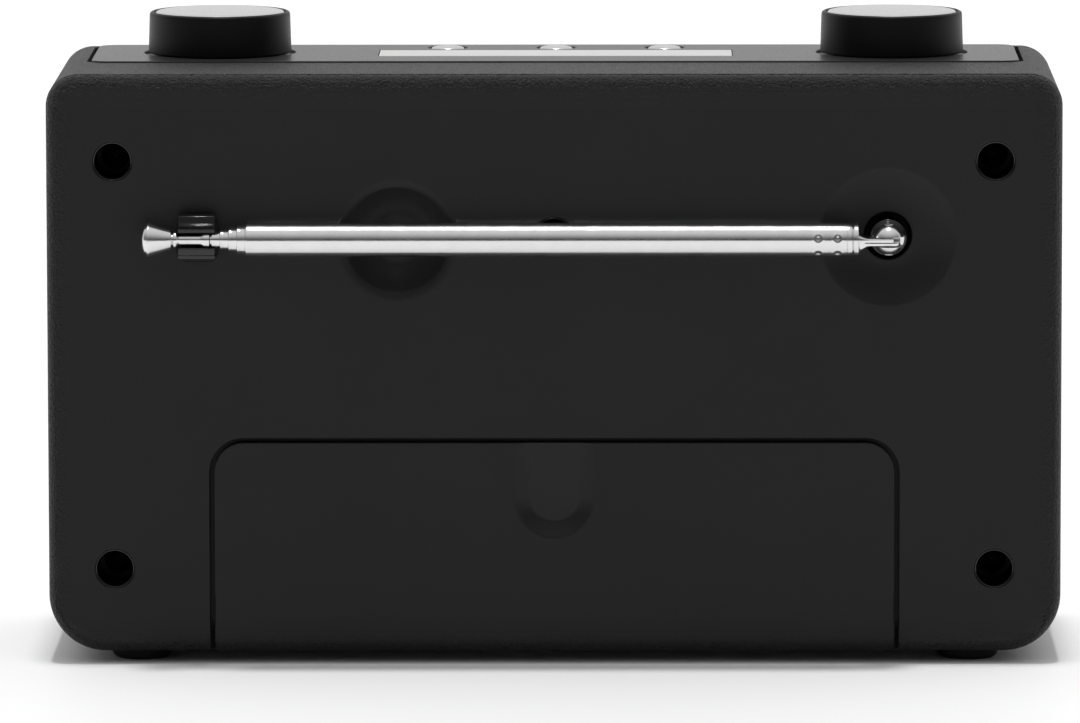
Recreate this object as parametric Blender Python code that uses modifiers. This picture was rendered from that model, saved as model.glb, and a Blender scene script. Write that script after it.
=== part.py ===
"""Tabletop radio with two knobs, a display, a telescopic aerial and a battery door.

Metres, +Z up. The origin is on the level that the feet stand on, under the middle of the whole
radio. The front, with the speaker grille, faces -Y. The rear, with the aerial, faces +Y.
"""

import math

import bmesh
import bpy
from mathutils import Matrix, Vector

# Body
WIDTH = 0.205
BODY_HEIGHT = 0.1174
BODY_DEPTH = 0.068
FOOT_HEIGHT = 0.0022
BOTTOM_CORNER = 0.0115
TOP_CORNER = 0.0065
FRONT_ROUND = 0.0025
REAR_ROUND = 0.0037
SIDE_WALL = 0.0025
TOP_WALL = 0.0028
FRONT_WALL = 0.0036
COVER_DEPTH = 0.0042
COVER_WALL = 0.0022
GAP = 0.0003
RUNNING_GAP = 0.00015

# Aerial
AERIAL_STANDOFF = 0.0048
AERIAL_Z = 0.0870
SWIVEL_X = -0.0673
CLIP_X = 0.0718
TIP_RADIUS = 0.0036
TUBE_RADII = (0.00305, 0.00265, 0.00225, 0.00185, 0.00145)
TUBE_WALL = 0.00025
ROD_RADIUS = 0.00103
TUBE_FIRST_X = -0.0600
TUBE_END_X = 0.0620
TUBE_STEP_X = 0.0017
TUBE_SIDES = 12
TUBE_START_STEP = 0.0006

# Places that follow from the body
REAR_Y = (BODY_DEPTH - AERIAL_STANDOFF - TIP_RADIUS) / 2
FRONT_Y = REAR_Y - BODY_DEPTH
COVER_Y = REAR_Y - COVER_DEPTH
HALF_WIDTH = WIDTH / 2
BODY_BOTTOM = FOOT_HEIGHT
BODY_TOP = BODY_BOTTOM + BODY_HEIGHT
AERIAL_Y = REAR_Y + AERIAL_STANDOFF
INNER_X = HALF_WIDTH - SIDE_WALL
INNER_BOTTOM = BODY_BOTTOM + SIDE_WALL
INNER_TOP = BODY_TOP - TOP_WALL
FRONT_INNER_Y = FRONT_Y + FRONT_WALL

# Top plate, display, buttons and knobs
PLATE_HALF_WIDTH = 0.0947
PLATE_END_GAP = 0.0009
PLATE_REAR_Y = REAR_Y - 0.0287
PLATE_FRONT_Y = FRONT_Y + 0.0028
PLATE_THICKNESS = 0.0012
PLATE_PROUD = 0.0003
PLATE_TOP = BODY_TOP + PLATE_PROUD
PLATE_BOTTOM = PLATE_TOP - PLATE_THICKNESS
DISPLAY_HALF_WIDTH = 0.0362
DISPLAY_REAR_Y = REAR_Y - 0.0398
DISPLAY_FRONT_Y = REAR_Y - 0.0532
DISPLAY_RIM = 0.0018
HOLE_LOW = INNER_TOP - 0.004
HOLE_HIGH = PLATE_TOP + 0.004
BUTTON_XS = {"left": 0.0224, "middle": 0.0, "right": -0.0224}
BUTTON_Y = REAR_Y - 0.0585
BUTTON_RADIUS = 0.0035
BUTTON_HOLE_RADIUS = 0.0041
BUTTON_PROUD = 0.0004
KNOB_X = 0.0691
KNOB_Y = REAR_Y - 0.0488
KNOB_RADIUS = 0.0147
KNOB_TOP_RADIUS = 0.0145
KNOB_HEIGHT = 0.0085
KNOB_CAP_RADIUS = 0.0128
SEAT_RADIUS = 0.0156
SEAT_DEPTH = 0.0007
SHAFT_RADIUS = 0.0030
BUSH_RADIUS = 0.0043
BUSH_HOLE_RADIUS = 0.0047

# Rear cover
WELL_X = 0.0889
WELL_INSET_Z = 0.0173
WELL_RADIUS = 0.00395
WELL_TUBE_RADIUS = 0.0054
WELL_DEPTH = 0.0146
WELL_FLOOR = 0.0012
DISH_X = 0.0316
DISH_Z = AERIAL_Z - 0.0006
DISH_RADIUS = 0.0125
DISH_FLOOR_RADIUS = 0.0080
DISH_DEPTH = 0.0048
BOWL_RADIUS = 0.0142
BOWL_DEPTH = 0.0034
BORE_RADIUS = 0.0047
BOSS_RADIUS = 0.0066
BOSS_DEPTH = 0.0113
SHELL_BACKING = 0.0015
POCKET_HALF_X = 0.00435
POCKET_HALF_Z = 0.00525
POCKET_DEPTH = 0.0032

# Battery door and tray
DOOR_HALF_WIDTH = 0.06875
DOOR_TOP = 0.0452
DOOR_GAP = 0.0009
DOOR_CORNER = 0.006
DOOR_FLANGE = 0.0022
DOOR_FLANGE_THICKNESS = 0.0013
SCOOP_RADIUS = 0.0079
SCOOP_Z = 0.0339
SCOOP_DEPTH = 0.0024
BAY_HALF_WIDTH = 0.0585
BAY_BOTTOM = 0.0100
BAY_TOP = 0.0410
BAY_DEPTH = 0.0165
TRAY_WALL = 0.0015
CELL_ROWS = {"upper": 0.0333, "lower": 0.0177}

# Feet
FOOT_X = 0.084
FOOT_RADIUS = 0.0062
FOOT_SETBACK = 0.01125
FOOT_SEAT = 0.0015

# Speaker
SPEAKER_X = 0.046
SPEAKER_Z = 0.060
SPEAKER_RADIUS = 0.037
SPEAKER_OPENING = 0.0315

# Front grille
GRILLE_HALF_WIDTH = HALF_WIDTH - 0.0085
GRILLE_BOTTOM = BODY_BOTTOM + 0.0085
GRILLE_TOP = BODY_TOP - 0.0085
GRILLE_CORNER = 0.005
GRILLE_RECESS = 0.0016
GRILLE_THICKNESS = 0.0012
SLOT_ROWS = 16
SLOT_COLUMNS = 2
SLOT_MARGIN = 0.006
SLOT_HEIGHT = 0.0026
SLOT_RIB = 0.004

# Encoders
ENCODER_TOP = INNER_TOP - GAP
ENCODER_HEIGHT = 0.0066
ENCODER_HALF = 0.006
BUSH_TOP = PLATE_TOP + 0.0012
CAVITY_RADIUS = 0.0050
CAVITY_TOP = ENCODER_TOP - 0.0011
CAVITY_BOTTOM = CAVITY_TOP - 0.0039
SHAFT_TOP = PLATE_TOP + 0.0062

# Boards and sockets
BOARD_Y = FRONT_INNER_Y + 0.0270
BOARD_LOW = (-0.084, BOARD_Y, 0.052)
BOARD_HIGH = (-0.008, BOARD_Y + 0.0016, 0.100)
BOARD_POSTS = [(-0.080, 0.056), (-0.012, 0.056), (-0.080, 0.096), (-0.012, 0.096)]
SOCKET_Y = REAR_Y - 0.0370
DC_Z = 0.034
DC_NOSE_RADIUS = 0.0042
DC_BORE_RADIUS = 0.0029
PHONES_Z = 0.048
PHONES_NOSE_RADIUS = 0.0030
PHONES_BORE_RADIUS = 0.0018
SOCKET_BOARD_X = -0.0860

radio = bpy.data.collections.new("tabletop_radio")
cutters = bpy.data.collections.new("cutters")
joint_places = {}


def clear_scene():
    for thing in list(bpy.data.objects):
        bpy.data.objects.remove(thing)
    bpy.context.scene.collection.children.link(radio)
    bpy.context.scene.collection.children.link(cutters)
    cutters.hide_render = True


def finish(name, colour, roughness, metallic=0.0):
    """A plain surface: colour in linear RGB, roughness and metallic value."""
    material = bpy.data.materials.new(name)
    material.use_nodes = True
    shader = material.node_tree.nodes["Principled BSDF"]
    shader.inputs["Base Color"].default_value = (*colour, 1.0)
    shader.inputs["Roughness"].default_value = roughness
    shader.inputs["Metallic"].default_value = metallic
    return material


BLACK_SHELL = dict(colour=(0.017, 0.017, 0.018), roughness=0.55)
BLACK_SMOOTH = dict(colour=(0.03, 0.03, 0.031), roughness=0.4)
BLACK_GLOSS = dict(colour=(0.008, 0.008, 0.008), roughness=0.15)
BLACK_RUBBER = dict(colour=(0.012, 0.012, 0.012), roughness=0.85)
BLACK_PAPER = dict(colour=(0.01, 0.01, 0.01), roughness=0.9)
CHROME = dict(colour=(0.8, 0.8, 0.81), roughness=0.08, metallic=1.0)
BRUSHED = dict(colour=(0.75, 0.75, 0.76), roughness=0.3, metallic=1.0)
STEEL = dict(colour=(0.45, 0.45, 0.46), roughness=0.4, metallic=1.0)
NICKEL = dict(colour=(0.65, 0.63, 0.58), roughness=0.3, metallic=1.0)
BOARD_GREEN = dict(colour=(0.02, 0.12, 0.04), roughness=0.5)
RED_WIRE = dict(colour=(0.4, 0.02, 0.02), roughness=0.5)
GREY_WIRE = dict(colour=(0.2, 0.2, 0.2), roughness=0.5)
DISPLAY_GREY = dict(colour=(0.68, 0.69, 0.68), roughness=0.12)


# Shapes added to a bmesh


def add_box(bm, low, high):
    """A box between two corners. Returns its faces."""
    low = Vector(low)
    high = Vector(high)
    size = high - low
    place = Matrix.Translation((low + high) / 2) @ Matrix.Diagonal((*size, 1.0))
    verts = bmesh.ops.create_cube(bm, size=1.0, matrix=place)["verts"]
    return list({face for vert in verts for face in vert.link_faces})


def add_rounded_box(
    bm, low, high, corner, axis=1, segments=6, top_corner=None, low_round=0.0, high_round=0.0
):
    """A box whose four edges along axis are rounded, and then the rim of either end face.

    The two upper edges have the radius top_corner if it is given.
    """
    before = set(bm.faces)
    add_box(bm, low, high)
    middle = (low[2] + high[2]) / 2
    edges = {edge for face in set(bm.faces) - before for edge in face.edges}
    edges = {edge for edge in edges if abs((edge.verts[0].co - edge.verts[1].co)[axis]) > 1e-6}
    upper = set()
    if top_corner is not None:
        upper = {edge for edge in edges if edge.verts[0].co.z > middle}
    for group, radius in ((edges - upper, corner), (upper, top_corner)):
        if group:
            bmesh.ops.bevel(
                bm, geom=list(group), offset=radius, segments=segments, profile=0.5, affect="EDGES"
            )
    for level, radius in ((low[axis], low_round), (high[axis], high_round)):
        if radius == 0.0:
            continue
        faces = set(bm.faces) - before
        end = next(
            face
            for face in faces
            if abs(face.normal[axis]) > 0.99 and abs(face.calc_center_median()[axis] - level) < 1e-6
        )
        bmesh.ops.bevel(
            bm, geom=list(end.edges), offset=radius, segments=4, profile=0.5, affect="EDGES"
        )
        bm.normal_update()


def add_casing_box(bm, low, high, inset, **rounding):
    """A box with the casing's own four corners, each inset by a wall's thickness."""
    add_rounded_box(
        bm, low, high, BOTTOM_CORNER - inset, top_corner=TOP_CORNER - inset, **rounding
    )


def round_edges(bm, radius, at_place, along=0, segments=5):
    """Rounds the edges along one axis whose two ends are both at a place."""
    edges = []
    for edge in bm.edges:
        first, second = edge.verts
        line = (first.co - second.co).normalized()
        if abs(line[along]) > 0.99 and at_place(first.co) and at_place(second.co):
            edges.append(edge)
    bmesh.ops.bevel(
        bm, geom=edges, offset=radius, segments=segments, profile=0.5, affect="EDGES"
    )


def add_cylinder(bm, start, end, radius, end_radius=None, segments=16):
    """A closed cylinder, or a cone frustum, from start to end."""
    start = Vector(start)
    line = Vector(end) - start
    turn = line.to_track_quat("Z", "Y").to_matrix().to_4x4()
    bmesh.ops.create_cone(
        bm,
        cap_ends=True,
        segments=segments,
        radius1=radius,
        radius2=radius if end_radius is None else end_radius,
        depth=line.length,
        matrix=Matrix.Translation(start + line / 2) @ turn,
    )


# Objects


def add_object(name, data, collection):
    thing = bpy.data.objects.new(name, data)
    collection.objects.link(thing)
    return thing


def mesh_object(name, bm, collection):
    bmesh.ops.recalc_face_normals(bm, faces=bm.faces)
    mesh = bpy.data.meshes.new(name)
    bm.to_mesh(mesh)
    bm.free()
    return add_object(name, mesh, collection)


def smooth(thing):
    """Smooth shading, with edges over 30 degrees kept sharp."""
    thing.data.shade_smooth()
    thing.data.set_sharp_from_angle(angle=math.radians(30))


def piece(name, bm, look):
    """A sub-part from a bmesh, with its own material."""
    thing = mesh_object(name, bm, radio)
    thing.data.materials.append(finish(name, **look))
    smooth(thing)
    return thing


def combine(target, name, bm, operation):
    """Cuts a helper shape from a sub-part, or joins it on."""
    helper = mesh_object(name, bm, cutters)
    helper.hide_render = True
    helper.display_type = "WIRE"
    modifier = target.modifiers.new(name, "BOOLEAN")
    modifier.operation = operation
    modifier.object = helper
    modifier.solver = "EXACT"


def cut(target, name, bm):
    combine(target, name, bm, "DIFFERENCE")


def join(target, name, bm):
    combine(target, name, bm, "UNION")


def turned(name, profile, look, location, axis="Z", steps=24, closed=False):
    """A turned shape. The profile's (radius, height) points run down its outer side from the top."""
    bm = bmesh.new()
    verts = [bm.verts.new((radius, 0.0, height)) for radius, height in profile]
    for first, second in zip(verts, verts[1:]):
        bm.edges.new((first, second))
    if closed:
        bm.edges.new((verts[-1], verts[0]))
    mesh = bpy.data.meshes.new(name)
    bm.to_mesh(mesh)
    bm.free()
    mesh.materials.append(finish(name, **look))
    thing = add_object(name, mesh, radio)
    thing.location = location
    quarter = math.pi / 2
    thing.rotation_euler = {"X": (0, quarter, 0), "Y": (-quarter, 0, 0), "Z": (0, 0, 0)}[axis]
    screw = thing.modifiers.new("turn", "SCREW")
    screw.steps = steps
    screw.render_steps = steps
    screw.use_merge_vertices = True
    screw.merge_threshold = 0.00001
    screw.use_smooth_shade = True
    return thing


def move_origin(thing, point):
    """Puts the object's origin on its joint without moving its mesh."""
    point = Vector(point)
    thing.data.transform(Matrix.Translation(-point))
    thing.location = point


def joint_empty(name, point, parent=None):
    """An empty on a joint's axis. Everything that the joint moves is parented to it."""
    empty = add_object(name, None, radio)
    empty.location = point
    empty.empty_display_size = 0.01
    joint_places[name] = Vector(point)
    if parent:
        attach(parent, empty)
    return empty


def attach(parent, *children):
    """Parents objects to an empty, and leaves them where they are."""
    for child in children:
        child.parent = parent
        child.matrix_parent_inverse = Matrix.Translation(-joint_places[parent.name])


def smooth_route(points, steps=3):
    """Points along a Catmull-Rom curve through a wire's own points."""
    points = [Vector(point) for point in points]
    ends = [2 * points[0] - points[1], *points, 2 * points[-1] - points[-2]]
    route = []
    for before, start, end, after in zip(ends, ends[1:], ends[2:], ends[3:]):
        for step in range(steps):
            t = step / steps
            route.append(
                0.5
                * (
                    2 * start
                    + (end - before) * t
                    + (2 * before - 5 * start + 4 * end - after) * t**2
                    + (3 * start - before - 3 * end + after) * t**3
                )
            )
    return [*route, points[-1]]


def wire(name, route, radius, look):
    """A round wire along a list of points."""
    curve = bpy.data.curves.new(name, "CURVE")
    curve.dimensions = "3D"
    curve.bevel_depth = radius
    curve.bevel_resolution = 1
    curve.use_fill_caps = True
    spline = curve.splines.new("POLY")
    spline.points.add(len(route) - 1)
    for point, place in zip(spline.points, route):
        point.co = (*place, 1.0)
    curve.materials.append(finish(name, **look))
    return add_object(name, curve, radio)


# Casing


def make_cabinet():
    """The front and the four sides, with the posts that the rear screws reach."""
    bm = bmesh.new()
    low = (-HALF_WIDTH, FRONT_Y, BODY_BOTTOM)
    high = (HALF_WIDTH, COVER_Y - GAP / 2, BODY_TOP)
    add_casing_box(bm, low, high, 0.0, segments=8, low_round=FRONT_ROUND)
    cabinet = piece("cabinet", bm, BLACK_SHELL)

    bm = bmesh.new()
    low = (-INNER_X, FRONT_INNER_Y, INNER_BOTTOM)
    high = (INNER_X, REAR_Y, INNER_TOP)
    add_casing_box(bm, low, high, SIDE_WALL)
    cut(cabinet, "cabinet_inside", bm)

    bm = bmesh.new()
    post_end = REAR_Y - WELL_DEPTH - WELL_FLOOR - GAP
    for x, z in well_places():
        add_cylinder(bm, (x, FRONT_INNER_Y - 0.001, z), (x, post_end, z), 0.0040, segments=10)
    for x, z in BOARD_POSTS:
        end = (x, BOARD_Y - GAP, z)
        add_cylinder(bm, (x, FRONT_INNER_Y - 0.001, z), end, 0.0024, segments=8)
    join(cabinet, "cabinet_posts", bm)

    bm = bmesh.new()
    for x, z in well_places():
        add_cylinder(bm, (x, post_end - 0.009, z), (x, post_end + 0.002, z), 0.0018, segments=10)
    add_cylinder(
        bm,
        (SPEAKER_X, FRONT_Y - 0.001, SPEAKER_Z),
        (SPEAKER_X, FRONT_INNER_Y + 0.001, SPEAKER_Z),
        SPEAKER_OPENING,
        segments=32,
    )
    cut(cabinet, "cabinet_holes", bm)

    bm = bmesh.new()
    low = (-GRILLE_HALF_WIDTH - GAP, FRONT_Y - 0.001, GRILLE_BOTTOM - GAP)
    high = (GRILLE_HALF_WIDTH + GAP, FRONT_Y + GRILLE_RECESS, GRILLE_TOP + GAP)
    add_rounded_box(bm, low, high, GRILLE_CORNER + GAP, segments=5)
    cut(cabinet, "grille_recess", bm)

    bm = bmesh.new()
    end = PLATE_HALF_WIDTH + PLATE_END_GAP
    low = (-end, PLATE_FRONT_Y - GAP, PLATE_BOTTOM - GAP)
    high = (end, PLATE_REAR_Y + GAP, BODY_TOP + 0.001)
    add_rounded_box(bm, low, high, 0.0025, axis=2, segments=3)
    cut(cabinet, "plate_recess", bm)

    bm = bmesh.new()
    for x in (-KNOB_X, KNOB_X):
        add_cylinder(bm, (x, KNOB_Y, HOLE_LOW), (x, KNOB_Y, HOLE_HIGH), BUSH_HOLE_RADIUS, segments=20)
    for x in BUTTON_XS.values():
        add_cylinder(bm, (x, BUTTON_Y, HOLE_LOW), (x, BUTTON_Y, HOLE_HIGH), BUTTON_HOLE_RADIUS, segments=20)
    low = (-DISPLAY_HALF_WIDTH + DISPLAY_RIM, DISPLAY_FRONT_Y + DISPLAY_RIM, HOLE_LOW)
    high = (DISPLAY_HALF_WIDTH - DISPLAY_RIM, DISPLAY_REAR_Y - DISPLAY_RIM, HOLE_HIGH)
    add_box(bm, low, high)
    cut(cabinet, "top_holes", bm)

    bm = bmesh.new()
    for z, radius in ((DC_Z, DC_NOSE_RADIUS), (PHONES_Z, PHONES_NOSE_RADIUS)):
        start = (-HALF_WIDTH - 0.001, SOCKET_Y, z)
        add_cylinder(bm, start, (-INNER_X + 0.001, SOCKET_Y, z), radius + GAP, segments=20)
    for x, y in foot_places():
        start = (x, y, BODY_BOTTOM - 0.001)
        end = (x, y, BODY_BOTTOM + FOOT_SEAT)
        add_cylinder(bm, start, end, FOOT_RADIUS + GAP, segments=20)
    cut(cabinet, "socket_and_foot_holes", bm)


def well_places():
    """The five screw wells' X and Z: the corners, and one behind the aerial."""
    low = BODY_BOTTOM + WELL_INSET_Z
    high = BODY_TOP - WELL_INSET_Z
    return [(WELL_X, high), (-WELL_X, high), (WELL_X, low), (-WELL_X, low), (0.0, AERIAL_Z)]


def foot_places():
    near = REAR_Y - FOOT_SETBACK
    far = FRONT_Y + FOOT_SETBACK
    return [(FOOT_X, near), (-FOOT_X, near), (FOOT_X, far), (-FOOT_X, far)]


def make_rear_cover():
    """The rear wall, with its screw wells, finger dish, swivel bowl and clip pocket."""
    inner_y = REAR_Y - COVER_WALL
    bm = bmesh.new()
    low = (-HALF_WIDTH, COVER_Y + GAP / 2, BODY_BOTTOM)
    high = (HALF_WIDTH, REAR_Y, BODY_TOP)
    add_casing_box(bm, low, high, 0.0, segments=8, high_round=REAR_ROUND)
    cover = piece("rear_cover", bm, BLACK_SHELL)

    bm = bmesh.new()
    low = (-INNER_X + GAP, COVER_Y - 0.0018, INNER_BOTTOM + GAP)
    high = (INNER_X - GAP, inner_y + 0.0005, INNER_TOP - GAP)
    add_casing_box(bm, low, high, SIDE_WALL)
    join(cover, "cover_lip", bm)

    lip = SIDE_WALL + GAP + 0.0012
    bm = bmesh.new()
    low = (-HALF_WIDTH + lip, COVER_Y - 0.005, BODY_BOTTOM + lip)
    high = (HALF_WIDTH - lip, inner_y, BODY_TOP - TOP_WALL - GAP - 0.0012)
    add_casing_box(bm, low, high, lip)
    cut(cover, "cover_inside", bm)

    inside = inner_y + 0.0005
    bm = bmesh.new()
    for x, z in well_places():
        start = (x, REAR_Y - WELL_DEPTH - WELL_FLOOR, z)
        add_cylinder(bm, start, (x, inside, z), WELL_TUBE_RADIUS, segments=12)
    backing = SHELL_BACKING
    dish_back = (DISH_X, REAR_Y - DISH_DEPTH - backing, DISH_Z)
    dish_rim = (DISH_X, inside, DISH_Z)
    add_cylinder(bm, dish_back, dish_rim, DISH_FLOOR_RADIUS + backing, DISH_RADIUS, segments=24)
    boss_end = (SWIVEL_X, REAR_Y - BOSS_DEPTH, AERIAL_Z)
    add_cylinder(bm, boss_end, (SWIVEL_X, inside, AERIAL_Z), BOSS_RADIUS, segments=24)
    low = (CLIP_X - POCKET_HALF_X - backing, REAR_Y - POCKET_DEPTH - backing, AERIAL_Z - 0.0068)
    high = (CLIP_X + POCKET_HALF_X + backing, inside, AERIAL_Z + 0.0068)
    add_box(bm, low, high)
    join(cover, "cover_bosses", bm)

    bm = bmesh.new()
    bowl_back = (SWIVEL_X, REAR_Y - BOWL_DEPTH - backing, AERIAL_Z)
    bowl_rim = (SWIVEL_X, inside, AERIAL_Z)
    add_cylinder(bm, bowl_back, bowl_rim, BOSS_RADIUS + 0.0004, BOWL_RADIUS, segments=24)
    join(cover, "bowl_back", bm)

    outside = REAR_Y + 0.001
    bm = bmesh.new()
    for x, z in well_places():
        add_cylinder(bm, (x, REAR_Y - WELL_DEPTH, z), (x, outside, z), WELL_RADIUS)
    spread = (DISH_RADIUS - DISH_FLOOR_RADIUS) / DISH_DEPTH * 0.001
    start = (DISH_X, REAR_Y - DISH_DEPTH, DISH_Z)
    end = (DISH_X, outside, DISH_Z)
    add_cylinder(bm, start, end, DISH_FLOOR_RADIUS, DISH_RADIUS + spread, segments=24)
    spread = (BOWL_RADIUS - BORE_RADIUS) / BOWL_DEPTH * 0.001
    start = (SWIVEL_X, REAR_Y - BOWL_DEPTH, AERIAL_Z)
    end = (SWIVEL_X, outside, AERIAL_Z)
    add_cylinder(bm, start, end, BORE_RADIUS, BOWL_RADIUS + spread, segments=24)
    low = (CLIP_X - POCKET_HALF_X, REAR_Y - POCKET_DEPTH, AERIAL_Z - POCKET_HALF_Z)
    high = (CLIP_X + POCKET_HALF_X, outside, AERIAL_Z + POCKET_HALF_Z)
    add_rounded_box(bm, low, high, 0.0022, segments=3)
    cut(cover, "cover_recesses", bm)

    bm = bmesh.new()
    for x, z in well_places():
        start = (x, REAR_Y - WELL_DEPTH - WELL_FLOOR - 0.001, z)
        add_cylinder(bm, start, (x, REAR_Y - WELL_DEPTH + 0.001, z), 0.0018, segments=10)
    start = (SWIVEL_X, REAR_Y - BOSS_DEPTH - 0.001, AERIAL_Z)
    end = (SWIVEL_X, REAR_Y - BOWL_DEPTH + 0.0005, AERIAL_Z)
    add_cylinder(bm, start, end, BORE_RADIUS - 0.0001, segments=24)
    cut(cover, "cover_bores", bm)

    opening = DOOR_HALF_WIDTH + DOOR_GAP
    bm = bmesh.new()
    low = (-opening, COVER_Y - 0.005, -0.010)
    high = (opening, outside, DOOR_TOP + DOOR_GAP)
    add_rounded_box(bm, low, high, DOOR_CORNER + DOOR_GAP, segments=5)
    cut(cover, "door_opening", bm)

    flange = DOOR_HALF_WIDTH + DOOR_FLANGE + GAP
    bm = bmesh.new()
    add_box(bm, (-flange, COVER_Y - 0.005, -0.010), (flange, inner_y, 0.015))
    cut(cover, "door_runway", bm)


def make_rear_screws():
    """Pan-head screws at the bottom of the wells."""
    for number, (x, z) in enumerate(well_places(), start=1):
        shank = 0.0014
        profile = [(0, 0.0019), (0.0016, 0.0018), (0.0027, 0.0010), (0.0029, 0)]
        profile += [(shank, 0), (shank, -0.0085), (0, -0.0093)]
        place = (x, REAR_Y - WELL_DEPTH + GAP / 2, z)
        screw = turned(f"rear_screw_{number}", profile, STEEL, place, axis="Y", steps=12)
        for way, half_x, half_z in (("across", 0.0014, 0.00025), ("upright", 0.00025, 0.0014)):
            bm = bmesh.new()
            low = (x - half_x, place[1] + 0.0011, z - half_z)
            high = (x + half_x, place[1] + 0.0030, z + half_z)
            add_box(bm, low, high)
            cut(screw, f"{screw.name}_recess_{way}", bm)


def make_feet():
    for number, (x, y) in enumerate(foot_places(), start=1):
        top = BODY_BOTTOM + FOOT_SEAT - GAP
        profile = [(0, top), (FOOT_RADIUS, top), (FOOT_RADIUS, 0.0014), (0.0058, 0.0004)]
        profile += [(0.0052, 0), (0, 0)]
        turned(f"foot_{number}", profile, BLACK_RUBBER, (x, y, 0), steps=20)


# Front and speaker


def make_grille():
    """A flat panel with rows of slots in two blocks."""
    back = FRONT_Y + GRILLE_RECESS - GAP
    bm = bmesh.new()
    low = (-GRILLE_HALF_WIDTH, back - GRILLE_THICKNESS, GRILLE_BOTTOM)
    high = (GRILLE_HALF_WIDTH, back, GRILLE_TOP)
    add_rounded_box(bm, low, high, GRILLE_CORNER, segments=5)
    grille = piece("front_grille", bm, BLACK_SMOOTH)
    width = (2 * (GRILLE_HALF_WIDTH - SLOT_MARGIN) - (SLOT_COLUMNS - 1) * SLOT_RIB) / SLOT_COLUMNS
    pitch = (GRILLE_TOP - GRILLE_BOTTOM - 2 * SLOT_MARGIN - SLOT_HEIGHT) / (SLOT_ROWS - 1)
    bm = bmesh.new()
    for row in range(SLOT_ROWS):
        z = GRILLE_BOTTOM + SLOT_MARGIN + row * pitch
        for column in range(SLOT_COLUMNS):
            x = -GRILLE_HALF_WIDTH + SLOT_MARGIN + column * (width + SLOT_RIB)
            low = (x, back - 0.003, z)
            add_box(bm, low, (x + width, back + 0.001, z + SLOT_HEIGHT))
    cut(grille, "grille_slots", bm)


def make_speaker():
    """Basket, magnet and cone, on an axis along Y behind the front wall."""
    place = (SPEAKER_X, FRONT_INNER_Y + GAP, SPEAKER_Z)
    basket = [(0.0200, 0.0180), (0.0358, 0.0055), (0.0358, 0.0020), (SPEAKER_RADIUS, 0.0020)]
    basket += [(SPEAKER_RADIUS, 0), (0.0345, 0), (0.0345, 0.0045), (0.0190, 0.0165)]
    basket += [(0.0110, 0.0165), (0.0110, 0.0180)]
    turned("speaker_basket", basket, STEEL, place, axis="Y", closed=True)
    magnet = [(0, 0.0290), (0.0185, 0.0290), (0.0190, 0.0285), (0.0190, 0.0190)]
    magnet += [(0.0185, 0.0183), (0.0103, 0.0183), (0.0103, 0.0250), (0.0075, 0.0250)]
    magnet += [(0.0075, 0.0190), (0, 0.0190)]
    turned("speaker_magnet", magnet, STEEL, place, axis="Y", steps=16)
    cone = [(0, 0.0096), (0.0088, 0.0124), (0.0088, 0.0225), (0.0093, 0.0225), (0.0093, 0.0128)]
    cone += [(0.0280, 0.0026), (0.0310, 0.0040), (0.0340, 0.0026), (0.0340, 0.0018)]
    cone += [(0.0310, 0.0031), (0.0281, 0.0016), (0.0092, 0.0116), (0, 0.0086)]
    cone = turned("speaker_cone", cone, BLACK_PAPER, place, axis="Y")
    attach(joint_empty("speaker_stroke", place), cone)


# Top: plate, display and keys


def make_top_plate():
    bm = bmesh.new()
    low = (-PLATE_HALF_WIDTH, PLATE_FRONT_Y, PLATE_BOTTOM)
    high = (PLATE_HALF_WIDTH, PLATE_REAR_Y, PLATE_TOP)
    add_rounded_box(bm, low, high, 0.0020, axis=2, segments=3)
    plate = piece("top_plate", bm, BLACK_SMOOTH)
    bm = bmesh.new()
    for x in (-KNOB_X, KNOB_X):
        start = (x, KNOB_Y, PLATE_TOP - SEAT_DEPTH)
        add_cylinder(bm, start, (x, KNOB_Y, PLATE_TOP + 0.001), SEAT_RADIUS, segments=32)
    cut(plate, "knob_seats", bm)
    bm = bmesh.new()
    for x in (-KNOB_X, KNOB_X):
        add_cylinder(bm, (x, KNOB_Y, HOLE_LOW), (x, KNOB_Y, HOLE_HIGH), BUSH_HOLE_RADIUS, segments=20)
    for x in BUTTON_XS.values():
        add_cylinder(bm, (x, BUTTON_Y, HOLE_LOW), (x, BUTTON_Y, HOLE_HIGH), BUTTON_HOLE_RADIUS, segments=20)
    low = (-DISPLAY_HALF_WIDTH - GAP, DISPLAY_FRONT_Y - GAP, HOLE_LOW)
    add_box(bm, low, (DISPLAY_HALF_WIDTH + GAP, DISPLAY_REAR_Y + GAP, HOLE_HIGH))
    cut(plate, "plate_openings", bm)


def make_display():
    bm = bmesh.new()
    low = (-DISPLAY_HALF_WIDTH, DISPLAY_FRONT_Y, PLATE_BOTTOM)
    add_box(bm, low, (DISPLAY_HALF_WIDTH, DISPLAY_REAR_Y, PLATE_TOP))
    piece("display_window", bm, DISPLAY_GREY)
    bm = bmesh.new()
    low = (-DISPLAY_HALF_WIDTH, DISPLAY_FRONT_Y + 0.0004, INNER_TOP - 0.0045)
    add_box(bm, low, (DISPLAY_HALF_WIDTH, DISPLAY_REAR_Y, INNER_TOP - GAP))
    piece("display_module", bm, DISPLAY_GREY)


def make_buttons():
    """Three round keys held up by the key board's switches."""
    top = PLATE_TOP + BUTTON_PROUD
    flange_top = INNER_TOP - GAP
    profile = [(0, top), (0.0031, top), (BUTTON_RADIUS, top - 0.0004), (BUTTON_RADIUS, flange_top)]
    profile += [(0.0048, flange_top), (0.0048, flange_top - 0.0009)]
    profile += [(0.0015, flange_top - 0.0009), (0.0015, flange_top - 0.0024)]
    profile += [(0, flange_top - 0.0024)]
    profile = [(radius, height - top) for radius, height in profile]
    for side, x in BUTTON_XS.items():
        turned(f"button_{side}", profile, CHROME, (x, BUTTON_Y, top), steps=16)


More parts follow.
